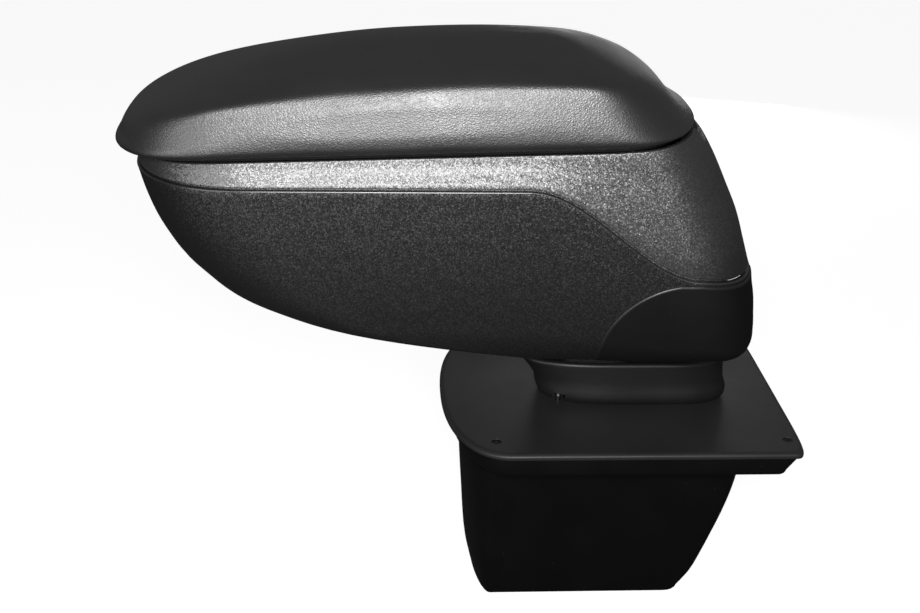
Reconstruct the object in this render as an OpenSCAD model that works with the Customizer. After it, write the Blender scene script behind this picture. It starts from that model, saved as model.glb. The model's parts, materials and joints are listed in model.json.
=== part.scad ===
// Car centre armrest on a console insert: a tapered tub with a collar, a console plate, a drafted
// foot with a pivot post, a fold-up arm made of two textured shells, and a padded lid on a rear pin.
// Millimetres. Origin at the centre of the tub's flat base, +Z up, -X to the nose, -Y to the viewer.

/* [Tub] */
// Height of the tub's walls below the collar
tub_height = 99; // [85:1:120]
// Distance from the origin forward to the tub's front wall at the top
tub_front = 71.5; // [66:0.5:74]
// Distance from the origin back to the tub's rear wall at the top
tub_rear = 93; // [86:1:100]
// Width of the tub at the top
tub_width = 118; // [104:1:130]
// Length of the flat base
base_length = 117; // [100:1:120]
// Width of the flat base
base_width = 94; // [84:1:98]
// Wall thickness of the tub
tub_wall = 2.6; // [2:0.1:4]
// Height of the collar round the top of the tub
collar_height = 11.6; // [9:0.2:14]

/* [Console plate] */
// Distance from the origin forward to the plate's bowed front edge
plate_front = 82; // [80:1:90]
// Distance from the origin back to the plate's rear edge
plate_rear = 119; // [112:1:126]
// Width of the plate
plate_width = 157; // [146:1:170]
// Thickness of the plate
plate_thickness = 3.6; // [3:0.1:5]

/* [Foot] */
// Height of the foot above the plate
foot_height = 27.5; // [24:0.5:32]
// Distance from the origin forward to the foot's front at the top
foot_front = 36; // [30:1:40]
// Distance from the origin back to the foot's rear at the top
foot_rear = 85.5; // [80:0.5:88]
// Width of the foot at the top
foot_width = 48; // [42:1:50]
// Width of the pivot post above the foot
post_width = 36; // [30:1:38]
// Radius of the post round the tilt axle
post_radius = 19; // [16:0.5:21]

/* [Arm] */
// Distance from the origin forward to the front of the shells
arm_front = 247; // [235:1:257]
// Distance from the origin back to the rear of the lower shell at the parting line
arm_rear = 88.5; // [86:0.5:92]
// Width of the arm at the parting line
arm_width = 138; // [130:1:146]
// Gap between the top of the foot and the floor of the arm
floor_gap = 15.5; // [14:0.5:18]
// Height of the parting line above the floor along the front
front_depth = 105; // [95:1:112]
// Height of the parting line above the floor over the hinge
rear_depth = 55.5; // [53:0.5:59]
// Height of the upper shell's band at the nose
band_height = 9.3; // [8:0.1:12]
// Wall thickness of both shells
shell_wall = 2.6; // [2.2:0.1:3.2]

/* [Tilt hinge] */
// Distance from the origin back to the tilt axle
axle_back = 48; // [46:0.5:50]
// Height of the tilt axle above the floor of the arm
axle_rise = 14.5; // [13:0.5:16]
// Diameter of the tilt axle
axle_diameter = 10; // [8:0.5:12]
// Radius of the cheek covers round the hinge
cheek_radius = 48.5; // [46:0.5:50]
// How far the cheek covers stand out of the lower shell
cheek_proud = 0.8; // [0.4:0.1:1.2]

/* [Lid] */
// Thickness of the lid's base board
lid_thickness = 2; // [1.6:0.1:3]
// Height of the pad's crown above the origin, less the height of the seam
pad_crown = 51; // [44:1:56]
// Width of the pad at its widest
pad_width = 134.6; // [128:0.2:140]
// Thickness of the pad's cover
pad_cover_thickness = 1.6; // [1.2:0.1:2.4]
// Distance from the origin forward to the pad's nose
pad_front = 257.5; // [247:0.5:264]
// Diameter of the lid's hinge pin
pin_diameter = 4; // [3:0.5:5]

/* [Screws] */
// Head diameter of the screws in the console plate
plate_screw_head = 5; // [4:0.5:7]
// Head diameter of the screws between the shells
shell_screw_head = 8; // [6:0.5:9]

/* [Hidden] */
$fn = 48;
running = 0.05; // radial clearance of a shaft that turns in its bore
loose = 0.1; // radial clearance of a screw in its hole
seam_gap = 0.4; // gap between the closed lid and the rim of the arm
overrun = 1; // how far a cutting tool passes the face that it cuts
many = 400; // longer than anything it is used to cut

collar_bottom = tub_height;
collar_top = tub_height + collar_height;
plate_top = collar_top + plate_thickness;
foot_top = plate_top + foot_height;
arm_floor = foot_top + floor_gap;
flat_line = arm_floor + front_depth;
low_line = arm_floor + rear_depth;
nose_seam = flat_line + band_height;
axle_z = arm_floor + axle_rise;
axle_radius = axle_diameter / 2;
pin_radius = pin_diameter / 2;

// How many steps a ring takes round its nose, along one side and round its tail
arm_steps = [7, 15, 6];
block_steps = [6, 2, 5];
// A plan is [nose part of the length, tail part, nose power, tail power]
arm_plan = [0.2, 0.13, 2.4, 2.6];
pad_plan = [0.22, 0.14, 2.3, 2.5];
plate_plan = [0.19, 0.05, 2.3, 6];
foot_plan = [0.45, 0.3, 2.6, 2.8];

function mix(a, b, t) = a + (b - a) * t;
function smooth(t) = let (u = max(0, min(1, t))) u * u * (3 - 2 * u);

// The other coordinate of a superellipse of the given power
function end_factor(q, power) = pow(1 - pow(min(1, max(0, q)), power), 1 / power);

// Fraction of a ring's length at step i, with short steps where the ends curve
function station(i, plan, steps) =
  let (count = steps[0] + steps[1] + steps[2])
  i <= steps[0] ? plan[0] * (1 - cos(90 * i / steps[0]))
  : i >= steps[0] + steps[1] ? 1 - plan[1] * (1 - cos(90 * (count - i) / steps[2]))
  : mix(plan[0], 1 - plan[1], (i - steps[0]) / steps[1]);

function width_factor(s, plan) =
  s < plan[0] ? end_factor(1 - s / plan[0], plan[2])
  : s > 1 - plan[1] ? end_factor(1 - (1 - s) / plan[1], plan[3])
  : 1;

// A closed plan ring [x, y] over span = [front x, rear x, half width]
function ring(span, plan, steps) =
  let (count = steps[0] + steps[1] + steps[2])
  [
    for (k = [0 : 2 * count - 1])
      let (
        s = station(k <= count ? k : 2 * count - k, plan, steps),
        side = k < count ? -1 : 1
      )
      [mix(span[0], span[1], s), side * span[2] * width_factor(s, plan)]
  ];

function level_ring(span, plan, steps, z) = [for (p = ring(span, plan, steps)) [p[0], p[1], z]];
function inset(span, d) = [span[0] + d, span[1] - d, span[2] - d];

// Closed solid through the rings: a cap on the first and the last ring, or joined end to end
module loft(rings, joined = false) {
  n = len(rings[0]);
  m = len(rings);
  half = n / 2;
  sides = [
    for (j = [0 : joined ? m - 1 : m - 2], k = [0 : n - 1])
      let (
        a = j * n + k,
        b = j * n + (k + 1) % n,
        c = (j + 1) % m * n + (k + 1) % n,
        d = (j + 1) % m * n + k
      )
      each [[a, d, c], [a, c, b]]
  ];
  strips = [for (i = [0 : half - 1]) [i, i + 1, (n - i - 1) % n, (n - i) % n]];
  first_cap = [for (s = strips) s[2] == s[1] ? [s[0], s[1], s[3]] : s[0] == s[3] ? [s[0], s[1], s[2]] : s];
  last_cap = [for (s = first_cap) [for (i = [len(s) - 1 : -1 : 0]) s[i] + (m - 1) * n]];
  faces = joined ? sides : concat(sides, first_cap, last_cap);
  polyhedron(points = [for (r = rings) each r], faces = faces, convexity = 8);
}

// Closed plate between two grids of points of the same size
module patch(outer, inner) {
  m = len(outer);
  n = len(outer[0]);
  size = m * n;
  front = [
    for (j = [0 : m - 2], i = [0 : n - 2])
      let (a = j * n + i)
      each [[a, a + n, a + n + 1], [a, a + n + 1, a + 1]]
  ];
  back = [for (f = front) [f[2] + size, f[1] + size, f[0] + size]];
  edge = concat(
    [for (i = [0 : n - 2]) i],
    [for (j = [0 : m - 2]) j * n + n - 1],
    [for (i = [n - 1 : -1 : 1]) (m - 1) * n + i],
    [for (j = [m - 1 : -1 : 1]) j * n]
  );
  rim = [
    for (i = [0 : len(edge) - 1])
      let (a = edge[i], b = edge[(i + 1) % len(edge)])
      each [[a, b, b + size], [a, b + size, a + size]]
  ];
  points = concat([for (r = outer) each r], [for (r = inner) each r]);
  polyhedron(points = points, faces = concat(front, back, rim), convexity = 4);
}

module along_y(x, z, from, to) {
  translate([x, to, z]) rotate([90, 0, 0]) linear_extrude(height = to - from) children();
}

// ---- Arm surfaces ----

// Height of the parting line between the shells: flat, then an S down to the hinge
drop_start = -41;
drop_end = 52;
tail_fall = 0.13; // slope of the parting line behind the S
function parting_z(x) =
  mix(flat_line, low_line, smooth((x - drop_start) / (drop_end - drop_start)))
  - tail_fall * max(0, x - drop_end);

// Height of the seam under the lid: it climbs gently and turns up at the rear
seam_slope = 0.033;
seam_lift = 0.0014;
nose_dip = 1.8; // how far the seam dips over the nose
dip_length = 60;
function seam_z(x) =
  nose_seam + seam_slope * (x + arm_front) + nose_dip * smooth((x + arm_front) / dip_length)
  + seam_lift * pow(max(0, x + 5), 2);

// Lower shell by height fraction: front and rear as parts of their reach, half width as a part
belly_front = [
  [0, 0.14], [0.03, 0.26], [0.06, 0.365], [0.1, 0.495], [0.17, 0.65], [0.3, 0.792],
  [0.48, 0.89], [0.68, 0.953], [0.86, 0.985], [1, 1]
];
belly_rear = [
  [0, 0.8], [0.03, 0.93], [0.06, 0.99], [0.1, 1.03], [0.17, 1.055], [0.3, 1.06],
  [0.48, 1.05], [0.68, 1.035], [0.86, 1.012], [1, 1]
];
belly_half = [
  [0, 0.64], [0.03, 0.768], [0.06, 0.812], [0.1, 0.848], [0.17, 0.891], [0.3, 0.928],
  [0.48, 0.961], [0.68, 0.983], [0.86, 0.994], [1, 1]
];
belly_levels = [for (row = belly_front) row[0]];
inner_levels = [1, 0.68, 0.48, 0.3, 0.17, 0.06, 0];

function belly_span(v, d) = [
  -arm_front * lookup(v, belly_front) + 1.3 * d,
  arm_rear * lookup(v, belly_rear) - d,
  arm_width / 2 * lookup(v, belly_half) - d
];
function belly_ring(v, d, lift) = [
  for (p = ring(belly_span(v, d), arm_plan, arm_steps))
    [p[0], p[1], mix(arm_floor + lift, parting_z(p[0]), v)]
];

// Solid inside the lower shell's outer surface moved in by d
module belly_solid(d) {
  loft([for (v = belly_levels) belly_ring(v, d, d)]);
}

// Upper shell by height fraction, from the parting line to the seam
ledge = 1.1;
band_levels = [0, 0.15, 0.33, 0.52, 0.72, 0.88, 1];
band_rear = [[0, 1], [0.15, 0.955], [0.33, 0.895], [0.52, 0.81], [0.72, 0.722], [0.88, 0.643], [1, 0.578]];
band_half = [[0, 1], [0.33, 0.981], [0.72, 0.956], [1, 0.944]];

function band_span(t, d) = [
  -arm_front + ledge + d,
  arm_rear * lookup(t, band_rear) - ledge * (1 - t) - d,
  arm_width / 2 * lookup(t, band_half) - ledge - d
];
function band_ring(t, d) = [
  for (p = ring(band_span(t, d), arm_plan, arm_steps))
    [p[0], p[1], mix(parting_z(p[0]), seam_z(p[0]) - seam_gap, t)]
];

// ---- Joints between the shells ----
shell_screw_x = [-190, -120, -60, 62];
boss_y = arm_width / 2 - 13;
boss_radius = 4.6;
boss_depth = 30;
boss_drop = 0.2; // how far the bosses stop below the parting line
gusset = 16; // longer than the way from a boss to the wall
lug_thickness = 3;
screw_shank = 1.8;
screw_length = 18;
head_height = 2.6;
head_reach = shell_screw_head / 2 * cos(45);
head_gap = 1.1; // between a head and the wall beside it

// How far out the upper shell's inner wall stands beside the head of a screw at x
function head_wall_y(x) =
  let (
    rise = lug_thickness + head_height,
    span = band_span(rise / (seam_z(x) - seam_gap - parting_z(x)), shell_wall),
    s = (x + head_reach - span[0]) / (span[1] - span[0])
  )
  span[2] * width_factor(s, arm_plan);
shell_screw_y = [for (x = shell_screw_x) min(boss_y, head_wall_y(x) - head_reach - head_gap)];

module shell_screw_at(i, side) {
  x = shell_screw_x[i];
  translate([x, side * shell_screw_y[i], parting_z(x) + lug_thickness]) children();
}

// ---- Tilt hinge ----
slot_half = foot_width / 2 + 3;
slot_front = axle_back - post_radius - 5;
slot_top = parting_z(arm_rear) - 4; // leaves a bridge of wall over the slot at the rear
washer_thickness = 2.2;
hub_face = post_width / 2 + washer_thickness + 0.4;
hub_radius = 11;
collar_radius = 8;
collar_end = 46;
clip_thickness = 1.2;
axle_end = collar_end + clip_thickness + 2.5;
bush_radius = axle_radius + 2.5;
cheek_depth = 1.3;
cheek_z = axle_z - 9;
cheek_top = min(cheek_z + cheek_radius, low_line) - 0.6;
cheek_bottom = arm_floor + 1.6;

// Row of points of a cheek cover that starts at height z, d inside the lower shell's outer surface
function side_v(x, z) = (z - arm_floor) / (parting_z(x) - arm_floor);
function row_z(x, v, z) = x < drop_end ? z : mix(arm_floor, parting_z(x), v);
function cheek_row(z, d, grow, side) =
  let (
    reach = sqrt(max(0, pow(cheek_radius + grow, 2) - pow(z - cheek_z, 2))),
    x_arc = axle_back - reach,
    v = side_v(drop_end, z),
    span = belly_span(v, d),
    length = span[1] - span[0],
    x_tail = span[1] - arm_plan[1] * length,
    q_end = end_factor((slot_half + 0.6 - grow) / span[2], arm_plan[3])
  )
  concat(
    [
      for (i = [0 : 7])
        let (x = mix(x_arc, x_tail, i / 8), row = row_z(x, v, z))
        [x, side * belly_span(side_v(x, row), d)[2], row]
    ],
    [
      for (i = [0 : 7])
        let (q = q_end * sin(mix(5, 90, i / 7)), x = x_tail + arm_plan[1] * length * q)
        [x, side * span[2] * end_factor(q, arm_plan[3]), row_z(x, v, z)]
    ]
  );

// Rows of a cheek cover as fractions of its height, close where the shell's belly curves
cheek_rows = [0, 0.04, 0.1, 0.18, 0.3, 0.45, 0.6, 0.74, 0.86, 0.95, 1];

module cheek_patch(side, outer_d, inner_d, grow) {
  levels = [for (f = cheek_rows) mix(cheek_bottom - grow, cheek_top + grow, f)];
  order = side < 0 ? levels : [for (j = [len(levels) - 1 : -1 : 0]) levels[j]];
  patch(
    [for (z = order) cheek_row(z, outer_d, grow, side)],
    [for (z = order) cheek_row(z, inner_d, grow, side)]
  );
}

// ---- Lid hinge ----
pin_x = 0.578 * arm_rear - 4.6;
pin_z = seam_z(pin_x) - 2.9;
knuckle_radius = pin_radius + 2;
hinge_half = 26;
relief_half = 36; // half width of the gap that the rim leaves for the lid's rear edge
leaf_knuckle = [9, 19]; // from and to of the lid's knuckles on each side
relief_floor = pin_z - knuckle_radius - 1;

// ---- Base ----

foot_round = 4; // height of the tub's rounded lower edge
toe = base_length / 2 + 4; // where the tub's front wall starts above that edge
heel = base_length / 2 + 7; // where its rear wall starts
// Walls above the edge: [part of the height, share of the way out at the front, at the rear]
wall_shares = [
  [0.14, 0.28, 0.24], [0.27, 0.44, 0.42], [0.43, 0.56, 0.6], [0.58, 0.68, 0.76],
  [0.8, 0.84, 0.93], [1, 1, 1]
];
function wall_half(z) =
  mix(base_width / 2 + 2, tub_width / 2, (z - foot_round) / (tub_height - foot_round));

// Outer walls by height: [z, front, rear, half width]
tub_profile = concat(
  [
    [0, base_length / 2, base_length / 2, base_width / 2],
    [1, base_length / 2 + 2.5, base_length / 2 + 3.5, base_width / 2 + 1.2],
    [foot_round, toe, heel, wall_half(foot_round)]
  ],
  [
    for (share = wall_shares)
      let (z = share[0] * tub_height)
      [z, mix(toe, tub_front, share[1]), mix(heel, tub_rear, share[2]), wall_half(z)]
  ]
);
bow_start = base_length / 2 - 6.5; // distance forward to where the flat sides turn into the bowed front

// Ring round the tub at height z, d inside the outer wall that a row of the profile gives
function tub_ring(row, d, z) =
  let (span = inset([-row[1], row[2], row[3]], d))
  level_ring(span, [(-bow_start - span[0]) / (span[1] - span[0]), 0.07, 2, 3], block_steps, z);

collar_span = [-plate_front + 5.5, plate_rear - 8, plate_width / 2 - 2];
collar_flare = 6.5; // how far the collar's rear leans out under the plate

module tub() {
  top_row = tub_profile[len(tub_profile) - 1];
  inner = [
    for (i = [len(tub_profile) - 1 : -1 : 2])
      let (row = tub_profile[i])
      tub_ring(row, tub_wall, max(row[0], tub_wall + 1))
  ];
  color("#17181a")
  difference() {
    loft(concat(
      [for (row = tub_profile) tub_ring(row, 0, row[0])],
      [
        level_ring(inset(collar_span, 1.5), plate_plan, block_steps, collar_bottom),
        level_ring(inset(collar_span, 1), plate_plan, block_steps, collar_bottom + 0.8),
        level_ring(collar_span, plate_plan, block_steps, collar_bottom + 2.5),
        level_ring(
          [collar_span[0], collar_span[1] + collar_flare, collar_span[2]],
          plate_plan, block_steps, collar_top
        )
      ],
      [tub_ring(top_row, tub_wall, collar_top)],
      inner,
      [tub_ring(tub_profile[1], tub_wall + 1, tub_wall)]
    ));
    plate_screw_spots()
      translate([0, 0, -plate_recess - plate_screw_length - 1]) cylinder(r = screw_shank + loose, h = many);
  }
}

plate_screw_x = [-53, plate_rear - 8];
plate_screw_y = plate_width / 2 - 15.5;
plate_recess = 1.4;
plate_screw_length = 6;

module plate_screw_spots() {
  for (x = plate_screw_x, side = [-1, 1]) translate([x, side * plate_screw_y, plate_top]) children();
}

module plate() {
  span = [-plate_front, plate_rear, plate_width / 2];
  color("#232426")
  difference() {
    loft([
      level_ring(inset(span, 0.8), plate_plan, block_steps, collar_top),
      level_ring(span, plate_plan, block_steps, collar_top + 0.7),
      level_ring(span, plate_plan, block_steps, plate_top - 1.8),
      level_ring(inset(span, 0.6), plate_plan, block_steps, plate_top - 0.8),
      level_ring(inset(span, 1.6), plate_plan, block_steps, plate_top - 0.2),
      level_ring(inset(span, 3), plate_plan, block_steps, plate_top)
    ]);
    plate_screw_spots() {
      translate([0, 0, -plate_recess]) cylinder(d = plate_screw_head + 0.4, h = plate_recess + overrun);
      translate([0, 0, -many / 2]) cylinder(r = screw_shank + loose, h = many);
    }
    foot_screw_spots() translate([0, 0, -many / 2]) cylinder(r = screw_shank + loose, h = many);
  }
}

module plate_screw(ix, side) {
  color("#3a3b3d")
  translate([plate_screw_x[ix], side * plate_screw_y, plate_top - plate_recess])
    difference() {
      union() {
        cylinder(d = plate_screw_head, h = 1);
        translate([0, 0, -plate_screw_length]) cylinder(r = screw_shank, h = plate_screw_length + 0.5);
      }
      for (turn = [0, 90])
        translate([0, 0, 0.9]) rotate([0, 0, turn]) cube([2.8, 0.6, 1], center = true);
    }
}

foot_screw_x = [8, 72];
foot_screw_y = foot_width / 2 - 12;

module foot_screw_spots() {
  for (x = foot_screw_x, side = [-1, 1]) translate([x, side * foot_screw_y, collar_top]) children();
}

module foot_screw(ix, side) {
  color("#8d9094")
  translate([foot_screw_x[ix], side * foot_screw_y, collar_top]) {
    translate([0, 0, -2.4]) cylinder(d = 7, h = 2.4);
    cylinder(r = screw_shank, h = plate_thickness + 10);
  }
}

// Foot: a drafted skirt that is wider at the top, and the post that carries the axle
foot_base_span = [-foot_front + 13, foot_rear + 1.5, foot_width / 2 - 1.4];
foot_top_span = [-foot_front, foot_rear, foot_width / 2];
notch_x = -13;

module foot() {
  color("#1f2022")
  difference() {
    union() {
      loft([
        level_ring(inset(foot_base_span, 1), foot_plan, block_steps, plate_top),
        level_ring(foot_base_span, foot_plan, block_steps, plate_top + 1),
        level_ring(
          [mix(foot_base_span[0], foot_top_span[0], 0.35), foot_rear + 0.6, foot_width / 2 - 0.6],
          foot_plan, block_steps, plate_top + 0.5 * foot_height
        ),
        level_ring(foot_top_span, foot_plan, block_steps, foot_top - 2.5),
        level_ring(inset(foot_top_span, 0.6), foot_plan, block_steps, foot_top - 0.9),
        level_ring(inset(foot_top_span, 2.2), foot_plan, block_steps, foot_top)
      ]);
      translate([axle_back - post_radius, -post_width / 2, foot_top - 3])
        cube([2 * post_radius, post_width, axle_z - foot_top + 3]);
      along_y(axle_back, axle_z, -post_width / 2, post_width / 2) circle(r = post_radius);
    }
    along_y(axle_back, axle_z, -many / 2, many / 2) circle(r = bush_radius);
    foot_screw_spots() cylinder(r = screw_shank + loose, h = plate_thickness + 11);
    for (side = [-1, 1])
      translate([notch_x - 3.5, side > 0 ? 10 : -10 - foot_width, plate_top - overrun])
        cube([7, foot_width, 6 + overrun]);
    translate([-15, 0, foot_top - 2]) cylinder(r = buffer_radius / 2 + loose, h = 3);
  }
}

module foot_stud(side) {
  color("#b9bcc0")
  translate([notch_x, side * 15, plate_top]) {
    cylinder(r = 1.5, h = 3.4);
    translate([0, 0, 3.4]) cylinder(r1 = 2.2, r2 = 1.2, h = 1.6);
  }
}

module post_bush() {
  color("#d8d4c6")
  along_y(axle_back, axle_z, -post_width / 2, post_width / 2)
    difference() {
      circle(r = bush_radius);
      circle(r = axle_radius + running);
    }
}

buffer_radius = 8;

module rest_buffer() {
  color("#0e0e0f")
  translate([-15, 0, foot_top - 2]) {
    cylinder(r = buffer_radius / 2, h = 3);
    translate([0, 0, 2]) cylinder(r = buffer_radius, h = floor_gap - 3.3);
    translate([0, 0, floor_gap - 1.3]) cylinder(r1 = buffer_radius, r2 = buffer_radius - 1, h = 3);
  }
}

// ---- Arm ----

module lower_shell() {
  color("#202123")
  difference() {
    union() {
      difference() {
        union() {
          loft(concat(
            [for (i = [0 : len(belly_levels) - 2]) belly_ring(belly_levels[i], 0, 0)],
            [belly_ring(0.988, 0, 0), belly_ring(1, 0.6, 0)],
            [for (v = inner_levels) belly_ring(v, shell_wall, shell_wall)]
          ));
          intersection() {
            for (side = [-1, 1], i = [0 : len(shell_screw_x) - 1])
              hull() {
                x = shell_screw_x[i];
                y = shell_screw_y[i];
                top = parting_z(x) - boss_drop;
                translate([x, side * y, top - boss_depth]) cylinder(r = boss_radius, h = boss_depth, $fn = 24);
                translate([x - 1.5, side > 0 ? y : -y - gusset, top - 1.3 * boss_depth])
                  cube([3, gusset, 1.3 * boss_depth]);
              }
            belly_solid(1);
          }
        }
        translate([slot_front, -slot_half, arm_floor - overrun])
          cube([many, 2 * slot_half, slot_top - arm_floor + overrun]);
      }
      intersection() {
        for (side = [-1, 1])
          along_y(axle_back, axle_z, side < 0 ? -75 : hub_face, side < 0 ? -hub_face : 75)
            circle(r = hub_radius);
        belly_solid(cheek_depth + 0.7);
      }
    }
    along_y(axle_back, axle_z, -75, 75) circle(r = collar_radius + loose);
    for (side = [-1, 1]) cheek_patch(side, -3, cheek_depth, 0.12);
    for (side = [-1, 1], i = [0 : len(shell_screw_x) - 1])
      shell_screw_at(i, side)
        translate([0, 0, -lug_thickness - screw_length - 1])
          cylinder(r = screw_shank + loose, h = many, $fn = 24);
  }
}

module upper_shell() {
  outer = [for (t = band_levels) band_ring(t, 0)];
  inner = [for (i = [len(band_levels) - 1 : -1 : 0]) band_ring(band_levels[i], shell_wall)];
  color("#242527")
  difference() {
    union() {
      loft(concat(outer, inner), joined = true);
      intersection() {
        for (side = [-1, 1], i = [0 : len(shell_screw_x) - 1])
          hull() {
            x = shell_screw_x[i];
            y = shell_screw_y[i];
            translate([x, side * y, parting_z(x)]) cylinder(r = boss_radius + 0.6, h = lug_thickness, $fn = 24);
            translate([x - 7, side > 0 ? y : -y - gusset, parting_z(x)]) cube([14, gusset, lug_thickness]);
          }
        loft([for (t = band_levels) band_ring(t, 1)]);
      }
    }
    translate([pin_x - 8, -relief_half, relief_floor]) cube([many, 2 * relief_half, many]);
    for (side = [-1, 1], i = [0 : len(shell_screw_x) - 1])
      shell_screw_at(i, side)
        translate([0, 0, -lug_thickness - overrun])
          cylinder(r = screw_shank + loose, h = lug_thickness + 2 * overrun, $fn = 24);
  }
}

module shell_screw(i, side) {
  color("#6f7276")
  shell_screw_at(i, side)
    difference() {
      union() {
        cylinder(d = shell_screw_head, h = head_height);
        translate([0, 0, -screw_length]) cylinder(r = screw_shank, h = screw_length + 1);
      }
      for (turn = [0, 90])
        translate([0, 0, head_height]) rotate([0, 0, turn]) cube([4.6, 1, 1.8], center = true);
    }
}

module cheek(side) {
  color("#1b1b1d")
  cheek_patch(side, -cheek_proud, cheek_depth, 0);
}

module axle() {
  color("#9ea2a6")
  along_y(axle_back, axle_z, -axle_end, axle_end) circle(r = axle_radius);
}

module axle_bush(side) {
  color("#cfcabb")
  along_y(axle_back, axle_z, side < 0 ? -collar_end : hub_face, side < 0 ? -hub_face : collar_end)
    difference() {
      circle(r = collar_radius);
      circle(r = axle_radius);
    }
}

module axle_washer(side) {
  near = post_width / 2 + 0.2;
  far = near + washer_thickness;
  color("#d8d4c6")
  along_y(axle_back, axle_z, side < 0 ? -far : near, side < 0 ? -near : far)
    difference() {
      circle(r = hub_radius);
      circle(r = axle_radius + running);
    }
}

module axle_clip(side) {
  far = collar_end + clip_thickness;
  color("#7b7e82")
  along_y(axle_back, axle_z, side < 0 ? -far : collar_end, side < 0 ? -collar_end : far)
    difference() {
      circle(r = axle_radius + 2.4);
      circle(r = axle_radius);
      translate([-1.2, -many / 2]) square([2.4, many / 2]);
    }
}

// Bulkhead in front of the hinge bay and the shelf over it
bulkhead_x = 8;
cover_thickness = 2.4;
cover_gap = 0.3; // between the bulkhead and the shell round it
shelf_rear = arm_rear - shell_wall - 7;
shelf_half = shell_screw_y[3] - 9;
shelf_cut = [10, 12]; // corner taken off the shelf and its mat

module hinge_cover() {
  top = low_line + cover_thickness;
  low = arm_floor + shell_wall;
  high = parting_z(bulkhead_x);
  top_v = (top - low) / (high - low);
  rim = [
    for (v = concat([for (i = [len(inner_levels) - 1 : -1 : 0]) if (inner_levels[i] < top_v) inner_levels[i]], [top_v]))
      [belly_span(v, shell_wall + cover_gap)[2], mix(low, high, v)]
  ];
  outline = concat(rim, [for (i = [len(rim) - 1 : -1 : 0]) [-rim[i][0], rim[i][1]]]);
  color("#1d1e20")
  union() {
    translate([bulkhead_x, 0, 0])
      rotate([90, 0, 90]) linear_extrude(height = cover_thickness) polygon(outline);
    translate([bulkhead_x, 0, low_line])
      linear_extrude(height = cover_thickness)
        shelf_outline(shelf_rear - bulkhead_x, shelf_half);
  }
}

module shelf_outline(length, half) {
  polygon([
    [0, -half], [length - shelf_cut[0], -half], [length, -half + shelf_cut[1]],
    [length, half - shelf_cut[1]], [length - shelf_cut[0], half], [0, half]
  ]);
}

module shelf_mat() {
  color("#0f0f10")
  translate([bulkhead_x + 4, 0, low_line + cover_thickness])
    linear_extrude(height = 1.5)
      shelf_outline(shelf_rear - bulkhead_x - 10, shelf_half - 6);
}

// Knuckles of the bracket along the pin, between those of the lid's leaf
bracket_knuckles = [
  [-hinge_half, -leaf_knuckle[1] - 0.4],
  [-leaf_knuckle[0] + 0.4, leaf_knuckle[0] - 0.4],
  [leaf_knuckle[1] + 0.4, hinge_half]
];
bracket_depth = 15.5;

// Inner face of the upper shell's rear wall at height z, where the bracket's ends meet it
function rear_face_x(z) =
  let (low = parting_z(60), high = seam_z(53) - seam_gap)
  band_span((z - low) / (high - low), shell_wall)[1] - 1.7;

module lid_bracket() {
  top = relief_floor - 0.5;
  foot_z = top - bracket_depth;
  color("#1d1e20")
  difference() {
    union() {
      for (range = bracket_knuckles) {
        along_y(pin_x, pin_z, range[0], range[1]) circle(r = knuckle_radius);
        translate([pin_x - knuckle_radius, range[0], top - 1])
          cube([4, range[1] - range[0], pin_z - top + 1]);
      }
      translate([0, hinge_half, 0]) rotate([90, 0, 0])
        linear_extrude(height = 2 * hinge_half)
          polygon([
            [pin_x - knuckle_radius, top], [rear_face_x(top), top], [rear_face_x(foot_z), foot_z],
            [rear_face_x(foot_z) - 5, foot_z], [pin_x - knuckle_radius, top - 6]
          ]);
    }
    along_y(pin_x, pin_z, -many / 2, many / 2) circle(r = pin_radius);
  }
}

module lid_pin() {
  color("#a6aaae")
  along_y(pin_x, pin_z, -hinge_half, hinge_half) circle(r = pin_radius);
}

catch_setback = 1.4; // clears the curve of the nose inside the upper shell
catch_x = -arm_front + ledge + shell_wall + catch_setback;
catch_length = 10;
catch_gap = 0.3;
catch_thickness = 1;

module catch_magnet() {
  height = 7;
  color("#4a4c4f")
  translate([catch_x, -11, seam_z(catch_x) - catch_thickness - catch_gap - height])
    cube([catch_length, 22, height]);
}

// ---- Lid ----

lid_span = [-arm_front - 3, arm_rear * 0.53, arm_width / 2 * 0.944 - 2.4];
function lid_ring(d, lift) = [
  for (p = ring(inset(lid_span, d), pad_plan, arm_steps)) [p[0], p[1], seam_z(p[0]) + lift]
];

module lid_base() {
  color("#101011")
  difference() {
    loft([lid_ring(0.4, 0), lid_ring(0, 0.5), lid_ring(0, lid_thickness)]);
    translate([pin_x - knuckle_radius - 1.5, -hinge_half - 1, relief_floor]) cube([30, 2 * hinge_half + 2, 40]);
  }
}

leaf_reach = 26;
leaf_thickness = 1.6;
leaf_tilt = atan2(seam_z(pin_x) - seam_z(pin_x - leaf_reach), leaf_reach);

// Places the flat of the leaf under the lid's base, sloped as the seam is there
module leaf_flat(from, width, reach) {
  translate([pin_x, from, pin_z])
    rotate([0, -leaf_tilt, 0])
      translate([-leaf_reach, 0, 0.95]) cube([reach, width, leaf_thickness]);
}

module lid_leaf() {
  color("#6f7276")
  difference() {
    union() {
      for (from = [-leaf_knuckle[1], leaf_knuckle[0]]) {
        width = leaf_knuckle[1] - leaf_knuckle[0];
        along_y(pin_x, pin_z, from, from + width) circle(r = knuckle_radius);
        leaf_flat(from, width, leaf_reach);
      }
      leaf_flat(-leaf_knuckle[1], 2 * leaf_knuckle[1], leaf_reach - 10);
    }
    along_y(pin_x, pin_z, -many / 2, many / 2) circle(r = pin_radius + running);
  }
}

module catch_plate() {
  color("#8d9094")
  translate([catch_x + 1, -10, seam_z(catch_x) - catch_thickness])
    cube([catch_length - 2, 20, catch_thickness]);
}

crown_x = -58;
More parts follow.
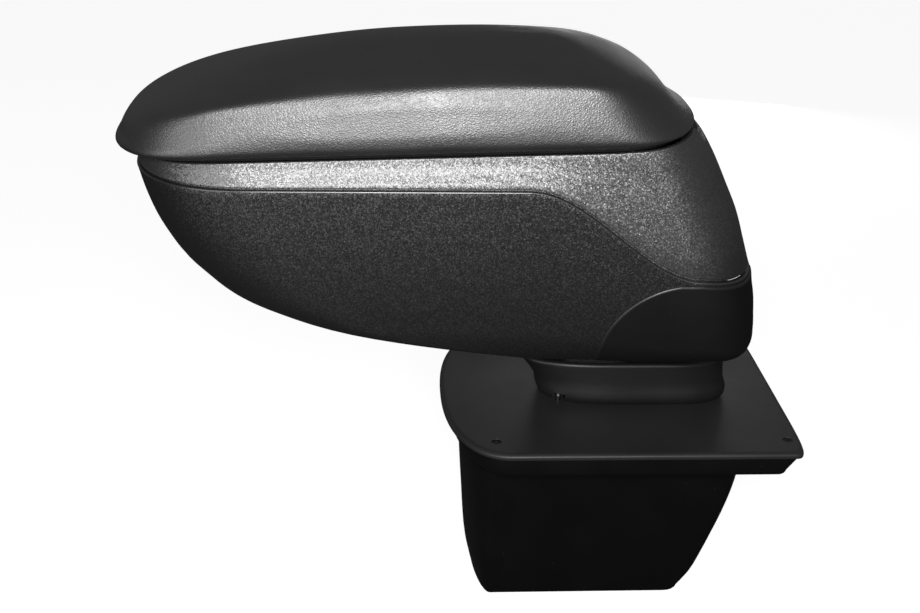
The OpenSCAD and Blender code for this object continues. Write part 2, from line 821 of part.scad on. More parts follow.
// Pad by level: [part of the crown's height, front, rear, half width]
pad_levels = [
  [0, pad_front - 6, 48, 0.958],
  [0.05, pad_front - 0.5, 47.5, 0.985],
  [0.12, pad_front, 44.5, 1],
  [0.26, pad_front - 5.5, 39.5, 0.976],
  [0.42, pad_front - 13, 32, 0.932],
  [0.57, pad_front - 24, 25, 0.875],
  [0.7, pad_front - 37, 17.5, 0.77],
  [0.82, pad_front - 59, 7, 0.562],
  [0.92, pad_front - 91, -8, 0.31],
  [1, pad_front - 133, -30, 0.11]
];
pad_gap = 0.3; // between the foam and what lies round it
function crown_z(x) = seam_z(crown_x) + pad_crown - 0.00055 * pow(x - crown_x, 2);

// Ring of the pad at one level, d inside its outer surface and lifted off the lid's base
function pad_ring(row, d, lift) = [
  for (p = ring(inset([-row[1], row[2], row[3] * pad_width / 2], d), pad_plan, arm_steps))
    [p[0], p[1], mix(seam_z(p[0]) + lid_thickness + lift, crown_z(p[0]) - d, row[0])]
];
function foam_rings(d, lift) = [for (i = [0, 2, 4, 6, 8, 9]) pad_ring(pad_levels[i], d, lift)];

module pad_cover() {
  hollow = foam_rings(pad_cover_thickness, 0);
  mouth = [for (p = hollow[0]) [p[0], p[1], p[2] - overrun]];
  color("#1a1a1b")
  difference() {
    loft([for (row = pad_levels) pad_ring(row, 0, 0)]);
    loft(concat([mouth], hollow));
  }
}

module pad_foam() {
  color("#c9b98a")
  loft(foam_rings(pad_cover_thickness + pad_gap, pad_gap));
}

tub();
plate();
plate_screw(0, -1);  // plate_screw_front_near
plate_screw(0, 1);  // plate_screw_front_far
plate_screw(1, -1);  // plate_screw_rear_near
plate_screw(1, 1);  // plate_screw_rear_far
foot();
foot_screw(0, -1);  // foot_screw_front_near
foot_screw(0, 1);  // foot_screw_front_far
foot_screw(1, -1);  // foot_screw_rear_near
foot_screw(1, 1);  // foot_screw_rear_far
post_bush();
rest_buffer();
foot_stud(-1);  // foot_stud_near
foot_stud(1);  // foot_stud_far
lower_shell();
upper_shell();
cheek(-1);  // cheek_near
cheek(1);  // cheek_far
axle();
axle_bush(-1);  // axle_bush_near
axle_bush(1);  // axle_bush_far
axle_washer(-1);  // axle_washer_near
axle_washer(1);  // axle_washer_far
axle_clip(-1);  // axle_clip_near
axle_clip(1);  // axle_clip_far
hinge_cover();
shelf_mat();
shell_screw(0, -1);  // shell_screw_nose_near
shell_screw(0, 1);  // shell_screw_nose_far
shell_screw(1, -1);  // shell_screw_front_near
shell_screw(1, 1);  // shell_screw_front_far
shell_screw(2, -1);  // shell_screw_middle_near
shell_screw(2, 1);  // shell_screw_middle_far
shell_screw(3, -1);  // shell_screw_rear_near
shell_screw(3, 1);  // shell_screw_rear_far
lid_bracket();
lid_pin();
catch_magnet();
lid_base();
lid_leaf();
catch_plate();
pad_cover();
pad_foam();
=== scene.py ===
"""Looks of a fold-up car centre armrest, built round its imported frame.

The arm is two textured shells with smooth hinge cheeks and a padded lid. It stands on a drafted
foot, a console plate and a tapered insert tub. Form sizes are in millimetres, as on a drawing, and
turn into metres where a mesh is made.
"""

import json
import logging
import math
from dataclasses import dataclass, replace
from enum import Enum
from typing import Any, Callable, Sequence

import bmesh
import bpy
import numpy as np
from mathutils import Matrix, Vector

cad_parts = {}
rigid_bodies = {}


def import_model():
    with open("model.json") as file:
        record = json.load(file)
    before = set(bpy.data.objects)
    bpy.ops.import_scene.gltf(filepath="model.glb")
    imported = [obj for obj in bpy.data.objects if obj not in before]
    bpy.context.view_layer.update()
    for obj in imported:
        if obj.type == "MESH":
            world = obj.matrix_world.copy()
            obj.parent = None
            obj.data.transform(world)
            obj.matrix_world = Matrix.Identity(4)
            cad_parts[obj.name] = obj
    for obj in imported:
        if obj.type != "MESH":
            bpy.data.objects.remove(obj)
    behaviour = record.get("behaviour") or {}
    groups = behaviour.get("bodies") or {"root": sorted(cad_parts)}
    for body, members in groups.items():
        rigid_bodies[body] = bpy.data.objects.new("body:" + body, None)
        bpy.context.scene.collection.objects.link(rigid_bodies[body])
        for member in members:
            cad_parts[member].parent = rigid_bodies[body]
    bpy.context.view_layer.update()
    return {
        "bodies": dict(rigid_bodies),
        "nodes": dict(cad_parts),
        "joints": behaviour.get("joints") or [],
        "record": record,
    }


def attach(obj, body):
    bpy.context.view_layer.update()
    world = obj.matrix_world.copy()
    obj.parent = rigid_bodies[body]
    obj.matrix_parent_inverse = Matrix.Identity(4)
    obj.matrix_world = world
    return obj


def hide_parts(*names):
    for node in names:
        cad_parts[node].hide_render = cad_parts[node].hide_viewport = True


Piece = bpy.types.Object
Tree = bpy.types.NodeTree
Socket = bpy.types.NodeSocket
Node = bpy.types.Node

MM = 0.001
SHARP_DEG = 38.0
MID_GREY = (0.5, 0.5, 0.5)
log = logging.getLogger("armrest")


# Small tools


def linear(code: str) -> tuple[float, float, float, float]:
    """Turns an sRGB hex colour into linear light.

    Args:
        code: The colour, such as "#1c1c1e".

    Returns:
        Red, green, blue and an alpha of 1.
    """
    parts = [int(code[i : i + 2], 16) / 255 for i in (1, 3, 5)]
    light = [c / 12.92 if c <= 0.04045 else ((c + 0.055) / 1.055) ** 2.4 for c in parts]
    return (light[0], light[1], light[2], 1.0)


def node(tree: Tree, kind: str, inputs: dict[str | int, Any] | None = None, **settings: Any) -> Node:
    """Adds a node with its settings, and links or sets its inputs.

    Args:
        tree: The node tree that gets the node.
        kind: Blender's name of the node type.
        inputs: By input name or number, a socket to link from or a value to set.
        **settings: Attributes of the node.

    Returns:
        The new node.
    """
    made = tree.nodes.new(kind)
    for name, value in settings.items():
        setattr(made, name, value)
    for key, value in (inputs or {}).items():
        if isinstance(value, Socket):
            tree.links.new(value, made.inputs[key])
        else:
            made.inputs[key].default_value = value
    return made


def through(keys: Sequence[float], rows: Sequence[Sequence[float]], at: np.ndarray) -> np.ndarray:
    """Reads a smooth curve that passes through every row of a table.

    Args:
        keys: The growing position of each row.
        rows: The table's rows.
        at: The positions to read.

    Returns:
        One row for each position.
    """
    k, y = np.asarray(keys, float), np.asarray(rows, float)
    h = np.diff(k)
    slope = np.diff(y, axis=0) / h[:, None]
    tangent = np.zeros_like(y)
    tangent[1:-1] = (slope[:-1] * h[1:, None] + slope[1:] * h[:-1, None]) / (h[:-1] + h[1:])[:, None]
    tangent[0] = 1.5 * slope[0] - 0.5 * tangent[1]
    tangent[-1] = 1.5 * slope[-1] - 0.5 * tangent[-2]
    i = np.clip(np.searchsorted(k, at, side="right") - 1, 0, len(k) - 2)
    t = ((np.asarray(at, float) - k[i]) / h[i])[:, None]
    rise = h[i][:, None]
    return (
        (2 * t**3 - 3 * t**2 + 1) * y[i]
        + (t**3 - 2 * t**2 + t) * rise * tangent[i]
        + (3 * t**2 - 2 * t**3) * y[i + 1]
        + (t**3 - t**2) * rise * tangent[i + 1]
    )


def smooth(t: np.ndarray) -> np.ndarray:
    """Rises from 0 to 1 with level ends."""
    u = np.clip(t, 0, 1)
    return u * u * (3 - 2 * u)


def corner(radius: float, steps: int = 4) -> list[tuple[float, float]]:
    """Gives a quarter round as (inward, down) pairs, from the side face to the top face."""
    turns = [math.pi / 2 * i / steps for i in range(steps + 1)]
    return [(radius * (1 - math.cos(a)), radius * (1 - math.sin(a))) for a in turns]


def level(outline: np.ndarray, z: float) -> np.ndarray:
    """Lays a plan outline flat at height z."""
    return np.column_stack([outline, np.full(len(outline), z)])


# Meshes


def mesh_object(
    name: str, points: np.ndarray, faces: list[tuple[int, ...]], sharp_deg: float = SHARP_DEG
) -> Piece:
    """Makes an object from points in millimetres.

    Args:
        name: The object's name.
        points: The vertices in millimetres.
        faces: Vertex numbers of each face.
        sharp_deg: Edges with a sharper turn than this are shaded sharp.

    Returns:
        The object, linked to the scene.
    """
    mesh = bpy.data.meshes.new(name)
    mesh.from_pydata([tuple(p) for p in np.asarray(points) * MM], [], faces)
    mesh.validate()
    made = bpy.data.objects.new(name, mesh)
    bpy.context.scene.collection.objects.link(made)
    shade(made, sharp_deg)
    return made


def shade(piece: Piece, sharp_deg: float) -> None:
    """Shades a piece smooth, apart from edges sharper than sharp_deg."""
    piece.data.shade_smooth()
    piece.data.set_sharp_from_angle(angle=math.radians(sharp_deg))
    piece.data.update()


def ring_faces(rings: int, around: int, joined: bool = False) -> list[tuple[int, ...]]:
    """Gives the side faces between rings of points.

    Args:
        rings: How many rings there are.
        around: How many points each ring has.
        joined: Whether the last ring meets the first again.

    Returns:
        The quads, facing out where rings turn anticlockwise and climb.
    """
    last = rings if joined else rings - 1
    return [
        (
            j * around + k,
            j * around + (k + 1) % around,
            (j + 1) % rings * around + (k + 1) % around,
            (j + 1) % rings * around + k,
        )
        for j in range(last)
        for k in range(around)
    ]


def strip_cap(around: int, first: int, top: bool) -> list[tuple[int, ...]]:
    """Closes a long ring with strips across it.

    Args:
        around: How many points the ring has.
        first: The number of the ring's first vertex.
        top: Whether the cap faces up.

    Returns:
        The faces.
    """
    faces = []
    for i in range(around // 2):
        strip = [i, i + 1, around - i - 1, (around - i) % around]
        strip = list(dict.fromkeys(strip))
        strip = strip if top else strip[::-1]
        faces.append(tuple(first + s for s in strip))
    return faces


def loft(
    name: str, rings: Sequence[np.ndarray], joined: bool = False, sharp_deg: float = SHARP_DEG
) -> Piece:
    """Skins rings of points from the lowest to the highest.

    Args:
        name: The object's name.
        rings: Rings of [x, y, z] in millimetres, all with the same number of points.
        joined: Whether the last ring meets the first; otherwise both end rings are closed.
        sharp_deg: Edges with a sharper turn than this are shaded sharp.

    Returns:
        The object.
    """
    around = len(rings[0])
    faces = ring_faces(len(rings), around, joined)
    if not joined:
        faces += strip_cap(around, 0, False)
        faces += strip_cap(around, (len(rings) - 1) * around, True)
    return mesh_object(name, np.vstack(rings), faces, sharp_deg)


def sleeve(inner: float, outer: float, start: float, end: float) -> list[tuple[float, float]]:
    """Gives the closed profile of a plain tube as (radius, distance along the axis) pairs."""
    return [(inner, start), (outer, start), (outer, end), (inner, end)]


def box_object(name: str, low: Sequence[float], high: Sequence[float]) -> Piece:
    """Makes a plain box between two corners in millimetres, as a cutting tool or a rib."""
    x0, y0, z0 = low
    x1, y1, z1 = high
    outline = np.array([[x0, y0], [x1, y0], [x1, y1], [x0, y1]])
    points = np.vstack([level(outline, z0), level(outline, z1)])
    faces = ring_faces(2, 4) + [(3, 2, 1, 0), (4, 5, 6, 7)]
    return mesh_object(name, points, faces)


def turned(
    name: str, profile: Sequence[tuple[float, float]], start: Sequence[float], axis: str, steps: int = 48
) -> Piece:
    """Turns a closed profile round an axis.

    Args:
        name: The object's name.
        profile: (radius, distance along the axis) pairs of a closed loop.
        start: The point that the profile's distances start from.
        axis: "Y" or "Z", the direction of the axis.
        steps: How many steps the turn has.

    Returns:
        The object.
    """
    turns = np.linspace(0, 2 * math.pi, steps, endpoint=False)
    points = []
    for radius, along in profile:
        for a in turns:
            u, w = radius * math.cos(a), radius * math.sin(a)
            offset = (u, along, -w) if axis == "Y" else (u, w, along)
            points.append(np.asarray(start, float) + offset)
    return mesh_object(name, np.array(points), ring_faces(len(profile), steps, joined=True), 30)


def applied(piece: Piece) -> Piece:
    """Replaces a piece's mesh by the result of its modifiers."""
    result = bpy.data.meshes.new_from_object(piece.evaluated_get(bpy.context.evaluated_depsgraph_get()))
    old = piece.data
    piece.modifiers.clear()
    piece.data = result
    bpy.data.meshes.remove(old)
    return piece


def cut(piece: Piece, tools: Sequence[Piece], sharp_deg: float = SHARP_DEG) -> Piece:
    """Cuts tools out of a piece and removes them.

    Args:
        piece: The piece to cut.
        tools: Closed meshes that don't touch each other.
        sharp_deg: Edges with a sharper turn than this are shaded sharp.

    Returns:
        The piece.
    """
    tool = joined_pieces("cutter", tools) if len(tools) > 1 else tools[0]
    modifier = piece.modifiers.new("cut", "BOOLEAN")
    modifier.operation = "DIFFERENCE"
    modifier.solver = "EXACT"
    modifier.object = tool
    applied(piece)
    bpy.data.objects.remove(tool)
    shade(piece, sharp_deg)
    return piece


def joined_pieces(name: str, parts: Sequence[Piece]) -> Piece:
    """Joins several meshes into one object and removes them."""
    joined = bmesh.new()
    for part in parts:
        joined.from_mesh(part.data)
    mesh = bpy.data.meshes.new(name)
    joined.to_mesh(mesh)
    joined.free()
    for part in parts:
        bpy.data.objects.remove(part)
    made = bpy.data.objects.new(name, mesh)
    bpy.context.scene.collection.objects.link(made)
    return made


# Finishes


class Slot(Enum):
    """Material slots of the record."""

    LEATHERETTE = "leatherette"
    FOAM = "foam"
    TEXTURED = "textured_plastic"
    SMOOTH = "smooth_plastic"
    NYLON = "nylon"
    RUBBER = "rubber"
    STEEL = "steel"


@dataclass(frozen=True)
class Finish:
    """A surface finish, made into a material once and shared.

    Args:
        name: The material's name.
        colour: sRGB hex colour.
        roughness: Microscopic roughness before texture.
        specular: Specular level, 0.5 for a plain dielectric.
        ior: Index of refraction.
    """

    name: str
    colour: str
    roughness: float
    specular: float = 0.5
    ior: float = 1.5
    metallic: float = 0.0

    def material(self) -> bpy.types.Material:
        """Gives the finish's material, and makes it at the first call."""
        found = bpy.data.materials.get(self.name)
        if found:
            return found
        made = bpy.data.materials.new(self.name)
        made.use_nodes = True
        tree = made.node_tree
        shader = tree.nodes["Principled BSDF"]
        shader.inputs["Base Color"].default_value = linear(self.colour)
        shader.inputs["Roughness"].default_value = self.roughness
        shader.inputs["Specular IOR Level"].default_value = self.specular
        shader.inputs["IOR"].default_value = self.ior
        shader.inputs["Metallic"].default_value = self.metallic
        place = node(tree, "ShaderNodeTexCoord").outputs["Object"]
        self.dress(tree, shader, place)
        return made

    def dress(self, tree: Tree, shader: Node, place: Socket) -> None:
        """Adds the finish's own detail.

        Args:
            tree: The material's node tree.
            shader: Its Principled shader.
            place: The position on the piece, in metres.
        """
        raise NotImplementedError


@dataclass(frozen=True)
class EmbossedLeatherette(Finish):
    """PVC leatherette, embossed by a roller: shallow pebbles with soft creases and a low sheen."""

    pebble_mm: float = 1.15
    pebble_depth_mm: float = 0.12
    crease_painted_shade_colour: str = "#0f0f10"
    stretch: tuple[float, float, float] = (0.72, 1.0, 1.0)
    bend_reach_mm: float = 2.2

    def dress(self, tree: Tree, shader: Node, place: Socket) -> None:
        """Draws pebbles with bent creases between them, the creases painted darker as shade, and slow
        patches of wear in the gloss.
        """
        bend = node(tree, "ShaderNodeTexNoise", {"Vector": place, "Scale": 1 / (2.4 * MM), "Detail": 2.0})
        middle = {0: bend.outputs["Color"], 1: MID_GREY}
        centred = node(tree, "ShaderNodeVectorMath", middle, operation="SUBTRACT")
        reach = {0: centred.outputs[0], "Scale": self.bend_reach_mm * MM}
        shift = node(tree, "ShaderNodeVectorMath", reach, operation="SCALE")
        bent = node(tree, "ShaderNodeVectorMath", {0: place, 1: shift.outputs[0]}, operation="ADD")
        # pebbles are a little longer along the lid, as a roller stretches them
        stretch = {0: bent.outputs[0], 1: self.stretch}
        squeezed = node(tree, "ShaderNodeVectorMath", stretch, operation="MULTIPLY")
        pebbles = node(
            tree,
            "ShaderNodeTexVoronoi",
            {"Vector": squeezed.outputs[0], "Scale": 1 / (self.pebble_mm * MM)},
            feature="DISTANCE_TO_EDGE",
        )
        crease = node(tree, "ShaderNodeMapRange", {"Value": pebbles.outputs["Distance"], "From Max": 0.32})
        grain = node(tree, "ShaderNodeTexNoise", {"Vector": place, "Scale": 1 / (0.7 * MM), "Detail": 3.0})
        height = node(
            tree,
            "ShaderNodeMath",
            {0: grain.outputs["Fac"], 1: 0.35, 2: crease.outputs["Result"]},
            operation="MULTIPLY_ADD",
        )
        bump = node(
            tree,
            "ShaderNodeBump",
            {"Height": height.outputs[0], "Strength": 0.45, "Distance": self.pebble_depth_mm * MM},
        )
        tree.links.new(bump.outputs[0], shader.inputs["Normal"])
        # painted shade: the creases get a darker colour than the pebbles
        tone = node(
            tree,
            "ShaderNodeMix",
            {"Factor": crease.outputs["Result"], "A": linear(self.crease_painted_shade_colour), "B": linear(self.colour)},
            data_type="RGBA",
        )
        tree.links.new(tone.outputs["Result"], shader.inputs["Base Color"])
        wear = node(tree, "ShaderNodeTexNoise", {"Vector": place, "Scale": 1 / (38 * MM), "Detail": 3.0})
        gloss = node(
            tree,
            "ShaderNodeMapRange",
            {
                "Value": wear.outputs["Fac"],
                "From Min": 0.35,
                "From Max": 0.65,
                "To Min": self.roughness - 0.03,
                "To Max": self.roughness + 0.04,
            },
        )
        tree.links.new(gloss.outputs["Result"], shader.inputs["Roughness"])


@dataclass(frozen=True)
class SparkedAbs(Finish):
    """ABS moulded against a spark-eroded steel tool: a grit whose tiny facets glitter."""

    grit_mm: float = 0.55
    tilt: float = 0.35

    def dress(self, tree: Tree, shader: Node, place: Socket) -> None:
        """Tilts each grit facet its own way, with finer pits between them."""
        facets = node(tree, "ShaderNodeTexVoronoi", {"Vector": place, "Scale": 1 / (self.grit_mm * MM)})
        middle = {0: facets.outputs["Color"], 1: MID_GREY}
        centred = node(tree, "ShaderNodeVectorMath", middle, operation="SUBTRACT")
        tilted = {0: centred.outputs[0], "Scale": self.tilt}
        lean = node(tree, "ShaderNodeVectorMath", tilted, operation="SCALE")
        face = node(tree, "ShaderNodeNewGeometry").outputs["Normal"]
        leaning = node(tree, "ShaderNodeVectorMath", {0: face, 1: lean.outputs[0]}, operation="ADD")
        unit = node(tree, "ShaderNodeVectorMath", {0: leaning.outputs[0]}, operation="NORMALIZE")
        pits = node(tree, "ShaderNodeTexNoise", {"Vector": place, "Scale": 1 / (0.4 * MM), "Detail": 2.0})
        bump = node(
            tree,
            "ShaderNodeBump",
            {
                "Height": pits.outputs["Fac"],
                "Strength": 0.4,
                "Distance": 0.05 * MM,
                "Normal": unit.outputs[0],
            },
        )
        tree.links.new(bump.outputs[0], shader.inputs["Normal"])


@dataclass(frozen=True)
class SatinAbs(Finish):
    """ABS moulded against a lightly blasted tool: even and satin, with faint dust and handling marks."""

    mottle_mm: float = 26.0
    mark_colour: str = "#2c2d2f"

    def dress(self, tree: Tree, shader: Node, place: Socket) -> None:
        """Gives a fine blasted bump, slow changes of gloss and rare pale specks."""
        blast = node(tree, "ShaderNodeTexNoise", {"Vector": place, "Scale": 1 / (0.6 * MM), "Detail": 2.0})
        blasted = {"Height": blast.outputs["Fac"], "Strength": 0.18, "Distance": 0.04 * MM}
        bump = node(tree, "ShaderNodeBump", blasted)
        tree.links.new(bump.outputs[0], shader.inputs["Normal"])
        patches = {"Vector": place, "Scale": 1 / (self.mottle_mm * MM), "Detail": 4.0}
        mottle = node(tree, "ShaderNodeTexNoise", patches)
        gloss = node(
            tree,
            "ShaderNodeMapRange",
            {
                "Value": mottle.outputs["Fac"],
                "From Min": 0.3,
                "From Max": 0.7,
                "To Min": self.roughness - 0.05,
                "To Max": self.roughness + 0.06,
            },
        )
        tree.links.new(gloss.outputs["Result"], shader.inputs["Roughness"])
        specks = node(tree, "ShaderNodeTexVoronoi", {"Vector": place, "Scale": 1 / (9 * MM)})
        near = {"Value": specks.outputs["Distance"], "From Min": 0.045, "From Max": 0.03}
        dust = node(tree, "ShaderNodeMapRange", near)
        tone = node(
            tree,
            "ShaderNodeMix",
            {"Factor": dust.outputs["Result"], "A": linear(self.colour), "B": linear(self.mark_colour)},
            data_type="RGBA",
        )
        tree.links.new(tone.outputs["Result"], shader.inputs["Base Color"])


@dataclass(frozen=True)
class CastPolymer(Finish):
    """Moulded nylon, rubber or foam: one colour with a soft, uneven surface."""

    grain_mm: float = 0.8
    grain_depth_mm: float = 0.05
    patch_colour: str = "#ffffff"

    def dress(self, tree: Tree, shader: Node, place: Socket) -> None:
        """Gives a fine bump and patches of a second tone."""
        fine = {"Vector": place, "Scale": 1 / (self.grain_mm * MM), "Detail": 3.0}
        grain = node(tree, "ShaderNodeTexNoise", fine)
        bump = node(
            tree,
            "ShaderNodeBump",
            {"Height": grain.outputs["Fac"], "Strength": 0.4, "Distance": self.grain_depth_mm * MM},
        )
        tree.links.new(bump.outputs[0], shader.inputs["Normal"])
        patches = node(tree, "ShaderNodeTexNoise", {"Vector": place, "Scale": 1 / (12 * MM), "Detail": 2.0})
        share = {"Value": patches.outputs["Fac"], "From Min": 0.45, "From Max": 0.75, "To Max": 0.5}
        amount = node(tree, "ShaderNodeMapRange", share)
        tone = node(
            tree,
            "ShaderNodeMix",
            {"Factor": amount.outputs["Result"], "A": linear(self.colour), "B": linear(self.patch_colour)},
            data_type="RGBA",
        )
        tree.links.new(tone.outputs["Result"], shader.inputs["Base Color"])


@dataclass(frozen=True)
class ZincPlatedSteel(Finish):
    """Steel with bright zinc plating: fine drawing lines and cloudy passivation."""

    def dress(self, tree: Tree, shader: Node, place: Socket) -> None:
        """Clouds the roughness and adds a faint drawn grain."""
        clouds = node(tree, "ShaderNodeTexNoise", {"Vector": place, "Scale": 1 / (4 * MM), "Detail": 3.0})
        gloss = node(
            tree,
            "ShaderNodeMapRange",
            {
                "Value": clouds.outputs["Fac"],
                "To Min": self.roughness - 0.08,
                "To Max": self.roughness + 0.12,
            },
        )
        tree.links.new(gloss.outputs["Result"], shader.inputs["Roughness"])
        drawn = node(tree, "ShaderNodeVectorMath", {0: place, 1: (1.0, 0.08, 1.0)}, operation="MULTIPLY")
        lines = node(tree, "ShaderNodeTexNoise", {"Vector": drawn.outputs[0], "Scale": 1 / (0.3 * MM)})
        drawn_lines = {"Height": lines.outputs["Fac"], "Strength": 0.2, "Distance": 0.02 * MM}
        bump = node(tree, "ShaderNodeBump", drawn_lines)
        tree.links.new(bump.outputs[0], shader.inputs["Normal"])


LEATHERETTE = EmbossedLeatherette("embossed_leatherette", "#101011", 0.44, specular=1.0, ior=1.75)
# one black plastic in two copies: the band's lighter grey is painted light where it faces up, the belly's
# darker grey is painted shade where it faces down
BAND_ABS_PAINTED_LIGHTER = SparkedAbs("spark_textured_abs_band_painted_lighter", "#1c1c1d", 0.45, tilt=0.3, specular=1.0, ior=1.9)
BELLY_ABS_PAINTED_DARKER = SparkedAbs("spark_textured_abs_belly_painted_darker", "#111112", 0.44, tilt=0.36, specular=1.0)
# the rounded rim: lower roughness, and a lighter grey that is a painted highlight
RIM_ABS_PAINTED_HIGHLIGHT = SatinAbs("bare_abs_rim_painted_highlight", "#1a1a1a", 0.36, specular=1.0, ior=1.7)
# the cheeks' rolled edges: shinier, with a lighter grey that is a painted highlight
EDGE_ABS_PAINTED_HIGHLIGHT = SatinAbs("abs_edge_painted_highlight", "#181818", 0.42, specular=0.7)
CHEEK_ABS = SatinAbs("satin_abs_cheek", "#141414", 0.5, specular=0.28)
FOOT_ABS = SatinAbs("satin_abs_foot", "#1b1b1b", 0.42, specular=0.5)
# the plate's own dark grey, raised lighter as a painted sheen
PLATE_ABS_PAINTED_SHEEN = SatinAbs("satin_abs_plate_painted_sheen", "#282828", 0.46, specular=0.5)
TUB_ABS = SatinAbs("satin_abs_tub", "#0a0a0a", 0.45, specular=0.24)
NYLON = CastPolymer("natural_nylon", "#c9c2ae", 0.5, patch_colour="#b5ad96")
RUBBER = CastPolymer("moulded_rubber", "#131313", 0.8, specular=0.3, patch_colour="#1b1b1b")
FOAM = CastPolymer("cut_foam", "#c9b98a", 0.95, specular=0.2, grain_depth_mm=0.3, patch_colour="#b8a878")
ZINC = ZincPlatedSteel("zinc_plated_steel", "#a9abae", 0.35, metallic=1.0)
DARK_STEEL = ZincPlatedSteel("blackened_steel", "#4a4b4d", 0.4, metallic=1.0)
SLOT_FINISH = {
    Slot.LEATHERETTE: LEATHERETTE,
    Slot.FOAM: FOAM,
    Slot.TEXTURED: BELLY_ABS_PAINTED_DARKER,
    Slot.SMOOTH: CHEEK_ABS,
    Slot.NYLON: NYLON,
    Slot.RUBBER: RUBBER,
    Slot.STEEL: ZINC,
}


def polish(piece: Piece, finish: Finish, picked: Callable[[bpy.types.MeshPolygon], bool]) -> None:
    """Gives the picked faces of a piece a second finish.

    Args:
        piece: The piece, with its first finish.
        finish: The second finish.
        picked: Says of a face whether it gets the second finish.
    """
    piece.data.materials.append(finish.material())
    last = len(piece.data.materials) - 1
    for face in piece.data.polygons:
        if picked(face):
            face.material_index = last


def settle(piece: Piece, body: str, finish: Finish, slot: Slot, *nodes: str) -> Piece:
    """Gives a piece its finish and its body, and hides the CAD nodes that it stands for.

    Args:
        piece: The finished mesh.
        body: The CAD body that it moves with.
        finish: Its surface.
        slot: The record's slot that the surface belongs to; not used.
        *nodes: CAD nodes that it replaces.

    Returns:
        The piece.
    """
    piece.data.materials.clear()
    piece.data.materials.append(finish.material())
    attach(piece, body)
    if nodes:
        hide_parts(*nodes)
    faces = len(piece.data.polygons)
    log.info("%s: %d faces on body %s", piece.name, faces, body)
    return piece


# Forms


@dataclass(frozen=True)
class Plan:
    """Outline from above: straight sides, and a superellipse at each end.

    Args:
        nose: Part of the length that the front end takes.
        tail: Part of the length that the rear end takes.
        nose_power: Squareness of the front end.
        tail_power: Squareness of the rear end.
    """

    nose: float
    tail: float
    nose_power: float
    tail_power: float
    steps: tuple[int, int, int] = (22, 34, 20)

    def stations(self) -> tuple[np.ndarray, np.ndarray]:
        """Gives the fraction of the length, and of the half width, of each point along one side."""
        front, side, back = self.steps
        a = np.linspace(0, math.pi / 2, front + 1)
        b = np.linspace(math.pi / 2, 0, back + 1)
        middle = np.linspace(self.nose, 1 - self.tail, side + 1)[1:-1]
        s = np.concatenate([self.nose * (1 - np.cos(a)), middle, 1 - self.tail * (1 - np.cos(b))])
        w = np.concatenate(
            [
                (1 - np.cos(a) ** self.nose_power) ** (1 / self.nose_power),
                np.ones(len(middle)),
                (1 - np.cos(b) ** self.tail_power) ** (1 / self.tail_power),
            ]
        )
        return s, w

    def outline(self, front: float, rear: float, half: float) -> np.ndarray:
        """Gives the closed outline [x, y], anticlockwise from the nose.

        Args:
            front: X of the nose.
            rear: X of the tail.
            half: Half of the width.

        Returns:
            The points.
        """
        s, w = self.stations()
        x, y = front + (rear - front) * s, half * w
        near = np.column_stack([x, -y])
        far = np.column_stack([x[-2:0:-1], y[-2:0:-1]])
        return np.vstack([near, far])


